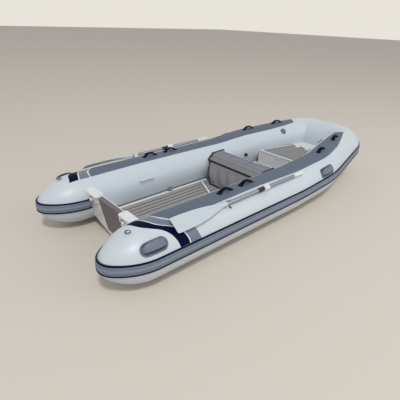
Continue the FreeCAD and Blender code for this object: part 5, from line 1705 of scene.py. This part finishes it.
# Stage
class TENDER_OT_stage(Operator):
    """Floor, lights, background and camera"""
    bl_idname = "tender.stage"
    bl_label = "Stage"

    def execute(self, context):
        scene = context.scene
        scene.view_settings.view_transform = "Standard"
        self.floor()
        self.world(scene)
        self.lamp("key", (-6.4, -9.2, 15.6), 2.4, 1450, (1.0, 0.99, 0.975))
        self.lamp("fill", (4.0, -7.5, 4.0), 7.0, 120, (0.97, 0.985, 1.0))
        self.camera(scene)
        return {"FINISHED"}

    def floor(self):
        mesh = bpy.data.meshes.new("studio_floor")
        reach = 60.0
        mesh.from_pydata([(-reach, -reach, 0), (reach, -reach, 0), (reach, reach, 0), (-reach, reach, 0)], [],
                         [(0, 1, 2, 3)])
        # plain painted board: matt and even
        mesh.materials.append(material("painted_floor", colours().floor, 0.9, specular=0.2)[0])
        floor = bpy.data.objects.new("studio_floor", mesh)
        bpy.context.scene.collection.objects.link(floor)

    def world(self, scene):
        world = bpy.data.worlds.new("studio")
        world.use_nodes = True
        scene.world = world
        tree = world.node_tree
        light = tree.nodes["Background"]
        light.inputs["Color"].default_value = (0.94, 0.965, 1.0, 1)
        light.inputs["Strength"].default_value = 0.55
        seen = add(tree, "ShaderNodeBackground", values={"Color": opaque(srgb("E8E4DC")), "Strength": 1.0})
        ray = add(tree, "ShaderNodeLightPath").outputs
        glossy = add(tree, "ShaderNodeMath", {0: ray["Is Camera Ray"], 1: ray["Is Glossy Ray"]},
                     operation="MAXIMUM")
        clear = add(tree, "ShaderNodeMath", {0: glossy.outputs["Value"], 1: ray["Is Transmission Ray"]},
                    operation="MAXIMUM")
        mix = add(tree, "ShaderNodeMixShader", {0: clear.outputs["Value"], 1: light.outputs["Background"],
                                                2: seen.outputs["Background"]})
        tree.links.new(mix.outputs["Shader"], tree.nodes["World Output"].inputs["Surface"])

    def lamp(self, name, place, size, power, tint):
        data = bpy.data.lights.new(name, "AREA")
        data.shape, data.size, data.energy, data.color = "DISK", size, power, tint
        lamp = bpy.data.objects.new(name, data)
        lamp.location = place
        lamp.rotation_mode = "QUATERNION"
        lamp.rotation_quaternion = (Vector((0, 0, 0.2)) - Vector(place)).to_track_quat("-Z", "Y")
        bpy.context.scene.collection.objects.link(lamp)

    def camera(self, scene):
        """The photograph's viewpoint, from its horizon and the boat's own lengths."""
        azimuth, elevation, roll = -0.7508, 0.4708, 0.0384
        back = Vector((math.sin(azimuth) * math.cos(elevation), -math.cos(azimuth) * math.cos(elevation),
                       math.sin(elevation)))
        right = (-back).cross(Vector((0, 0, 1))).normalized()
        up = right.cross(-back)
        side = right * math.cos(roll) + up * math.sin(roll)
        top = up * math.cos(roll) - right * math.sin(roll)
        data = bpy.data.cameras.new("view")
        data.sensor_width, data.lens = 36.0, 31.796
        camera = bpy.data.objects.new("view", data)
        place = Matrix((side, top, back)).transposed().to_4x4()
        place.translation = Vector((-2.70964, -2.3349, 1.7323))
        camera.matrix_world = place
        scene.collection.objects.link(camera)
        scene.camera = camera


class TENDER_PT_panel(Panel):
    """Every part of the tender, in the order in which it is built"""
    bl_idname = "TENDER_PT_panel"
    bl_label = "Tender"
    bl_space_type = "VIEW_3D"
    bl_region_type = "UI"
    bl_category = "Tender"

    def draw(self, context):
        layout = self.layout
        for group in (context.scene.tender_form, context.scene.tender_colours):
            box = layout.box()
            for name in type(group).__annotations__:
                box.prop(group, name)
        for step in STEPS:
            layout.operator(step.bl_idname)


STEPS = (
    TENDER_OT_stage, TENDER_OT_air_tubes, TENDER_OT_strake, TENDER_OT_stripes, TENDER_OT_handles,
    TENDER_OT_grips, TENDER_OT_hull, TENDER_OT_mats, TENDER_OT_transom, TENDER_OT_locker, TENDER_OT_seat,
    TENDER_OT_bag, TENDER_OT_oars, TENDER_OT_fittings,
)
CLASSES = (TenderColours, TenderForm, *STEPS, TENDER_PT_panel)


def register():
    for item in CLASSES:
        bpy.utils.register_class(item)
    bpy.types.Scene.tender_colours = PointerProperty(type=TenderColours)
    bpy.types.Scene.tender_form = PointerProperty(type=TenderForm)


def unregister():
    del bpy.types.Scene.tender_form
    del bpy.types.Scene.tender_colours
    for item in reversed(CLASSES):
        bpy.utils.unregister_class(item)


def main():
    register()
    for step in STEPS:
        group, name = step.bl_idname.split(".")
        getattr(getattr(bpy.ops, group), name)()


if __name__ == "__main__":
    main()
